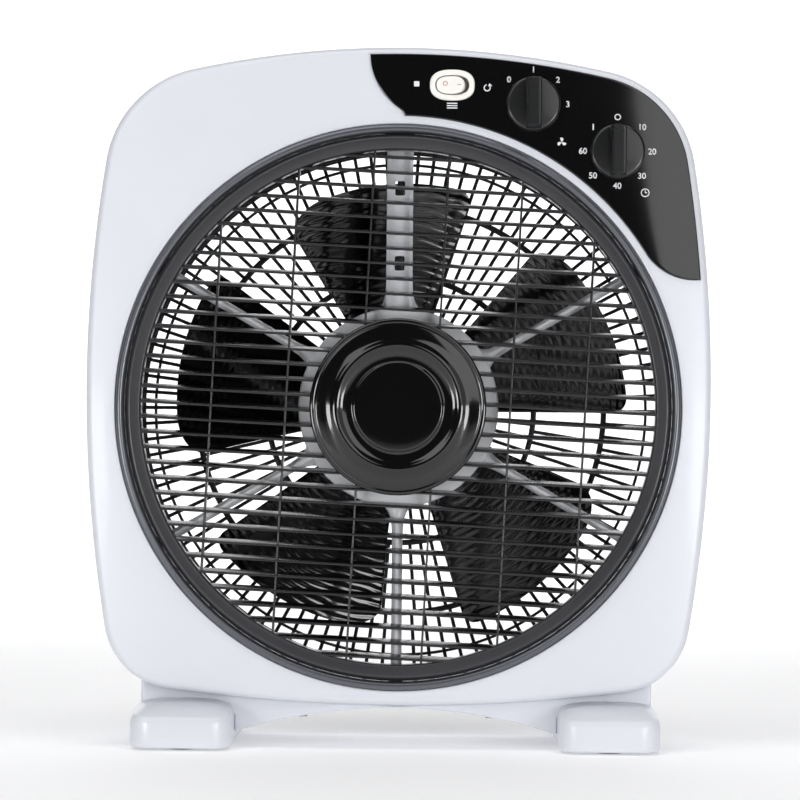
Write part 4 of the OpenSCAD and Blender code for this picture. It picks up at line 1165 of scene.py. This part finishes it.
hub_back, fan_hub_front = blade_middle - 15 * mm, blade_middle + 15 * mm
fan_hub_floor, fan_hub_skin = fan_hub_front - 3 * mm, fan_hub_radius - 2.4 * mm
shaft_bore = 4.02 * mm
fan = lathe("fan_blades_gloss", filleted([
    (shaft_bore, hub_back, 0.2 * mm),
    (9 * mm, hub_back, 0.5 * mm),
    (9 * mm, fan_hub_floor, 1 * mm),
    (fan_hub_skin, fan_hub_floor, 1 * mm),
    (fan_hub_skin, hub_back, 0.5 * mm),
    (fan_hub_radius, hub_back, 0.8 * mm),
    (fan_hub_radius, fan_hub_front, 3 * mm),
    (shaft_bore, fan_hub_front, 0.2 * mm),
]), count=120)
cut(fan, [blade_mesh(first_blade + k * 2 * math.pi / blade_count) for k in range(blade_count)], "UNION")
pin_low, pin_high = box_of("drive_pin")
pin_depth = -(pin_low.y + pin_high.y) / 2
cut(fan, [block("slot", 0, 0, hub_back - 1 * mm, pin_depth + 1.55 * mm,
                rounded_box(24 * mm, 3.2 * mm, 0.2 * mm, 2))])
smooth(fan, 40)
blade_gloss = moulded("blade_gloss_black", "#040405", 0.1, spread=0.03, grain=2 * mm, depth=0.002 * mm)
ripple_tree = blade_gloss.node_tree
ripple_place = add(ripple_tree, "ShaderNodeMapping", inputs={
    "Vector": add(ripple_tree, "ShaderNodeTexCoord").outputs["Object"], "Location": (0, 0, -axis_height)})
ripple = add(ripple_tree, "ShaderNodeTexWave", {"wave_type": "RINGS", "rings_direction": "Y"}, {
    "Vector": ripple_place.outputs["Vector"], "Scale": 62.0, "Distortion": 9.0,
    "Detail": 2.0, "Detail Scale": 0.35})
ripple_bump = add(ripple_tree, "ShaderNodeBump", inputs={
    "Strength": 1.0, "Distance": 0.1 * mm, "Height": ripple.outputs["Fac"],
    "Normal": ripple_tree.nodes["Bump"].outputs["Normal"]})
ripple_tree.links.new(ripple_bump.outputs["Normal"], ripple_tree.nodes["Principled BSDF"].inputs["Normal"])
wear(fan, blade_gloss, "fan", "blade_black", "fan_blades")

nut_back = -box_of("spinner_nut")[1].y
nut_bore = (shaft_bore, nut_back + 6.2 * mm)
spinner = lathe("spinner_nut_turned", [nut_bore, (shaft_bore, nut_back)] + [
    (r * mm, nut_back + f * mm) for r, f in (
        (14.4, 0), (15, 0.6), (15, 3.2), (14.6, 4.0), (11.6, 6.6), (10.4, 7.5), (8, 7.9), (0, 8))
] + [(0.0, nut_bore[1])], count=72, wrap=False)
smooth(spinner, 35)
wear(spinner, blade_gloss, "fan", "blade_black", "spinner_nut")

# ---- Rear grille ----
# A black moulded guard behind the blades: radial bars in three zones between rings, a flat disc
# that carries the motor, and a flange screwed to the rear cover.
grille_back, flange_front = -grille_high.y, -grille_low.y
bars_front = grille_back + 3.5 * mm
grille_bar = 2.4 * mm
zones = [(46.5 * mm, 91.3 * mm, 60), (91.3 * mm, 139.3 * mm, 80), (139.3 * mm, 176.9 * mm, 100)]
grille_black = moulded("grille_black_pp", "#0f1012", 0.36, grain=1.5 * mm, depth=0.006 * mm)
radial_bars, given = geometry_group("radial_bars", [
    ("Count", "Int"), ("Inner", "Float"), ("Outer", "Float"), ("Width", "Float"),
    ("Depth", "Float"), ("Material", "Material")])
bar_points = add(radial_bars, "GeometryNodeMeshLine", inputs={
    "Count": given["Count"], "Offset": (0.0, 0.0, 0.0)})
bar_line = add(radial_bars, "GeometryNodeCurvePrimitiveLine", inputs={
    "Start": vector_node(radial_bars, X=given["Inner"]), "End": vector_node(radial_bars, X=given["Outer"])})
bar_edge = edge_profile(radial_bars, given["Depth"], given["Width"], 0.4 * mm)
bar_index = radial_bars.nodes.new("GeometryNodeInputIndex").outputs[0]
bar_turn = math_node(radial_bars, "DIVIDE", math_node(
    radial_bars, "MULTIPLY", bar_index, 2 * math.pi), given["Count"])
bar_instances = add(radial_bars, "GeometryNodeInstanceOnPoints", inputs={
    "Points": bar_points.outputs[0], "Instance": solid_along(radial_bars, bar_line, bar_edge),
    "Rotation": vector_node(radial_bars, Y=bar_turn)})
dressed_output(radial_bars, bar_instances, given["Material"])
for label, (inner, outer, count) in zip(("inner", "middle", "outer"), zones):
    bars = grown(f"grille_bars_{label}", radial_bars, {
        "Count": count, "Inner": inner, "Outer": outer, "Width": grille_bar,
        "Depth": 3.2 * mm, "Material": grille_black})
    bars.data.transform(Matrix.Translation((0, -(grille_back + bars_front) / 2, axis_height)))
    smooth(bars, 50)
    wear(bars, grille_black, "housing", "grille_black")
grille_hub = lathe("grille_hub", [
    (0.0, bars_front), (47.6 * mm, bars_front), (48.3 * mm, bars_front - 0.6 * mm)
] + [(r * mm, grille_back + f * mm) for r, f in (
    (48.3, 0.9), (47.6, 0.3), (46, 0), (43, 0), (42, 0.7), (40, 0.7), (39, 0), (0, 0))
], count=180, wrap=False)
mount_screws = [box for box in solids("motor_mount_screws") if box[1].x - box[0].x < 7 * mm]
cut(grille_hub, [peg(x, z, 1.75 * mm, grille_back - 1 * mm, bars_front + 1 * mm)
                 for x, z in centres(mount_screws)])
smooth(grille_hub, 40)
wear(grille_hub, grille_black, "housing", "grille_black", "rear_grille")
for label, inner, outer, front, back in (
        ("inner", 89.4, 93.2, bars_front, grille_back),
        ("middle", 137.4, 141.2, bars_front, grille_back),
        ("slim", 167.1, 169.0, bars_front, grille_back + 0.2 * mm),
        ("outer", 174.8, 179.0, bars_front + 0.1 * mm, grille_back),
        ("flange", 176, 187, flange_front, bars_front)):
    ring = hoop(f"grille_ring_{label}", inner * mm, outer * mm, back, front, (0.5 * mm, 0.5 * mm), steps=4)
    smooth(ring, 50)
    wear(ring, grille_black, "housing", "grille_black")

# ---- Base ----
# The white stand between body and feet: a hollow moulding, set back under the front cover, with
# an arched lower edge. The body stands on it and is held by four screws from below.
base_low, base_high = box_of("base")
skirt_front, skirt_back = -base_low.y, -base_high.y
skirt_half = base_high.x
foot_low, foot_high = box_of("foot_right")
foot_middle, foot_half = (foot_low.x + foot_high.x) / 2, (foot_high.x - foot_low.x) / 2
arch_half, arch_low, arch_high = foot_low.x, 9 * mm, axis_height - bottom_drop - 3.2 * mm


def bevelled(obj, width, segments=3, angle=50):
    """Rounds every edge sharper than angle, and returns the object with a plain mesh."""
    modifier = obj.modifiers.new("edges", "BEVEL")
    modifier.width, modifier.segments = width, segments
    modifier.limit_method, modifier.angle_limit = "ANGLE", math.radians(angle)
    mesh = baked(obj)
    obj.modifiers.clear()
    obj.data = mesh
    return obj


def under_body(x):
    """Height above the floor at which the base meets the underside of the body."""
    right_side = (ring_angles > -math.pi / 2) & (ring_angles < 0.2)
    turns, radii = ring_angles[right_side], outline_radius(-0.3 * mm)[right_side]
    xs, zs = radii * np.cos(turns), radii * np.sin(turns)
    low_part = zs < -bottom_drop + 46 * mm
    return axis_height + float(np.interp(abs(x), xs[low_part], zs[low_part]))


skirt_end = foot_high.z - 11 * mm
skirt_outline = [(arch_half * t, arch_low + (arch_high - arch_low) * (1 - t * t))
                 for t in np.linspace(-1, 1, 49)]
skirt_outline += [(arch_half, skirt_end), (skirt_half, skirt_end)]
skirt_outline += [(skirt_half * t, under_body(skirt_half * t)) for t in np.linspace(1, -1, 61)]
skirt_outline += [(-skirt_half, skirt_end), (-arch_half, skirt_end)]
base = loft("base_skirt", [[(x, -f, z) for x, z in skirt_outline] for f in (skirt_back, skirt_front)],
            caps=True)
bevelled(base, 1.6 * mm)
smooth(base, 40)
wear(base, white_abs, "housing", "white_abs", "base")

# ---- Feet ----
# Two white hollow feet that reach out in front and behind. Their tops are crowned and climb
# towards the base, their ends are round, and each stands on two rubber pads.
foot_length = foot_high.y - foot_low.y
foot_bottom, foot_shoulder = foot_low.z, 17.5 * mm


def along_sides(outline, count=24):
    """A rounded box with count more points on each straight side, so that a side can climb."""
    corners = np.array(outline).reshape(4, -1, 2)
    points = []
    for corner, after in zip(corners, np.roll(corners, -1, axis=0)):
        points += list(corner) + list(np.linspace(corner[-1], after[0], count + 2)[1:-1])
    return points


foot_corner, foot_end_height = 14, 20 * mm


def foot_top(x, f):
    """Height of the crowned top at a place measured from the foot's middle."""
    way = np.clip((foot_length / 2 - abs(f)) / (foot_length / 2 - skirt_front), 0, 1)
    climb = math.sin(way * math.pi / 2) ** 0.8
    across = max(0.0, 1 - (abs(x) / foot_half) ** 3.5) ** 0.4
    return foot_end_height + (foot_high.z - foot_end_height) * climb * across


def foot_loop(middle, inset, height):
    """The foot's outline moved in by inset millimetres; height is a function of the place in it."""
    outline = along_sides(rounded_box(2 * foot_half - 2 * inset * mm, foot_length - 2 * inset * mm,
                                      max(foot_corner - inset, 0.3) * mm, 12))
    return [(middle + x, -f, height(x, f)) for x, f in outline]


def foot(name, node, middle):
    """A foot from its floor edge up its sides and over its top."""
    loops = [foot_loop(middle, inset, lambda x, f, rise=rise: foot_bottom + rise * mm)
             for inset, rise in ((3.0, 0), (1.2, 0.5), (0.3, 1.6), (0.0, 3.5))]
    loops.append(foot_loop(middle, 0.0, lambda x, f: foot_shoulder))
    for inset in (0.25, 0.8, 1.6, 2.6, 4, 6, 9, 12, 15, 19, 24, 28, foot_half / mm - 0.5):
        sink = 2.5 * mm * max(0.0, 1 - inset / 2.4) ** 2
        loops.append(foot_loop(
            middle, inset, lambda x, f, sink=sink: max(foot_top(x, f) - sink, foot_shoulder)))
    obj = loft(name, loops, caps=True)
    smooth(obj, 45)
    wear(obj, white_abs, "housing", "white_abs", node)


foot("foot_left_white", "foot_left", -foot_middle)
foot("foot_right_white", "foot_right", foot_middle)

# ---- Inside parts ----
# Steel, copper, brass and plastic parts that the rear grille and the louver leave in sight.


def metal(name, colour, roughness, streak=(6.0, 60.0, 6.0), depth=0.01 * mm):
    """A bare metal with fine marks that run along one way."""
    material, sockets = varied(name, colour, 0.8, (roughness * 0.7, roughness * 1.3),
                               (20.0, 4.0), depth, streak)
    sockets["Metallic"].default_value = 1.0
    return material


def dress(material, *names):
    """Gives CAD nodes that stay in sight their material."""
    for name in names:
        for place in frame["nodes"][name].material_slots:
            place.material = material


dress(metal("pressed_steel", "#b9bcc0", 0.32),
      "motor_front_shield", "motor_rear_shield", "louver_motor", "timer")
dress(metal("laminated_steel", "#7c7f85", 0.45, (2.0, 900.0, 2.0), 0.05 * mm), "motor_stator", "rotor")
dress(metal("enamelled_copper", "#a4562f", 0.3, (500.0, 2.0, 500.0), 0.15 * mm), "motor_windings")
dress(metal("sintered_bronze", "#b08d4a", 0.4, (40.0, 40.0, 40.0)), "motor_bush_front", "motor_bush_rear")
dress(metal("zinc_plated_steel", "#a9acb1", 0.3),
      "motor_bolts", "motor_mount_screws", "capacitor_clip", "louver_motor_screws", "speed_switch_nut",
      "timer_nut", "cover_screws", "bracket_screws", "base_screws", "foot_screws", "drive_pin", "louver_screw")
dress(metal("blackened_steel", "#2a2b2e", 0.35), "grille_screws")
dress(metal("ground_steel", "#c4c7cb", 0.18),
      "motor_shaft", "louver_motor_shaft", "speed_spindle", "timer_spindle")
dress(moulded("capacitor_black", "#202124", 0.4, coat=0.2), "capacitor")
dress(moulded("switch_cream", "#d8d5c8", 0.4), "speed_switch")
dress(moulded("lead_black_pvc", "#17181a", 0.42, grain=0.8 * mm, depth=0.006 * mm),
      "motor_lead", "louver_lead")
dress(moulded("pad_rubber", "#3a3a3c", 0.7, depth=0.02 * mm),
      *(f"foot_pad_{end}_{side}" for end in ("front", "rear") for side in ("left", "right")))
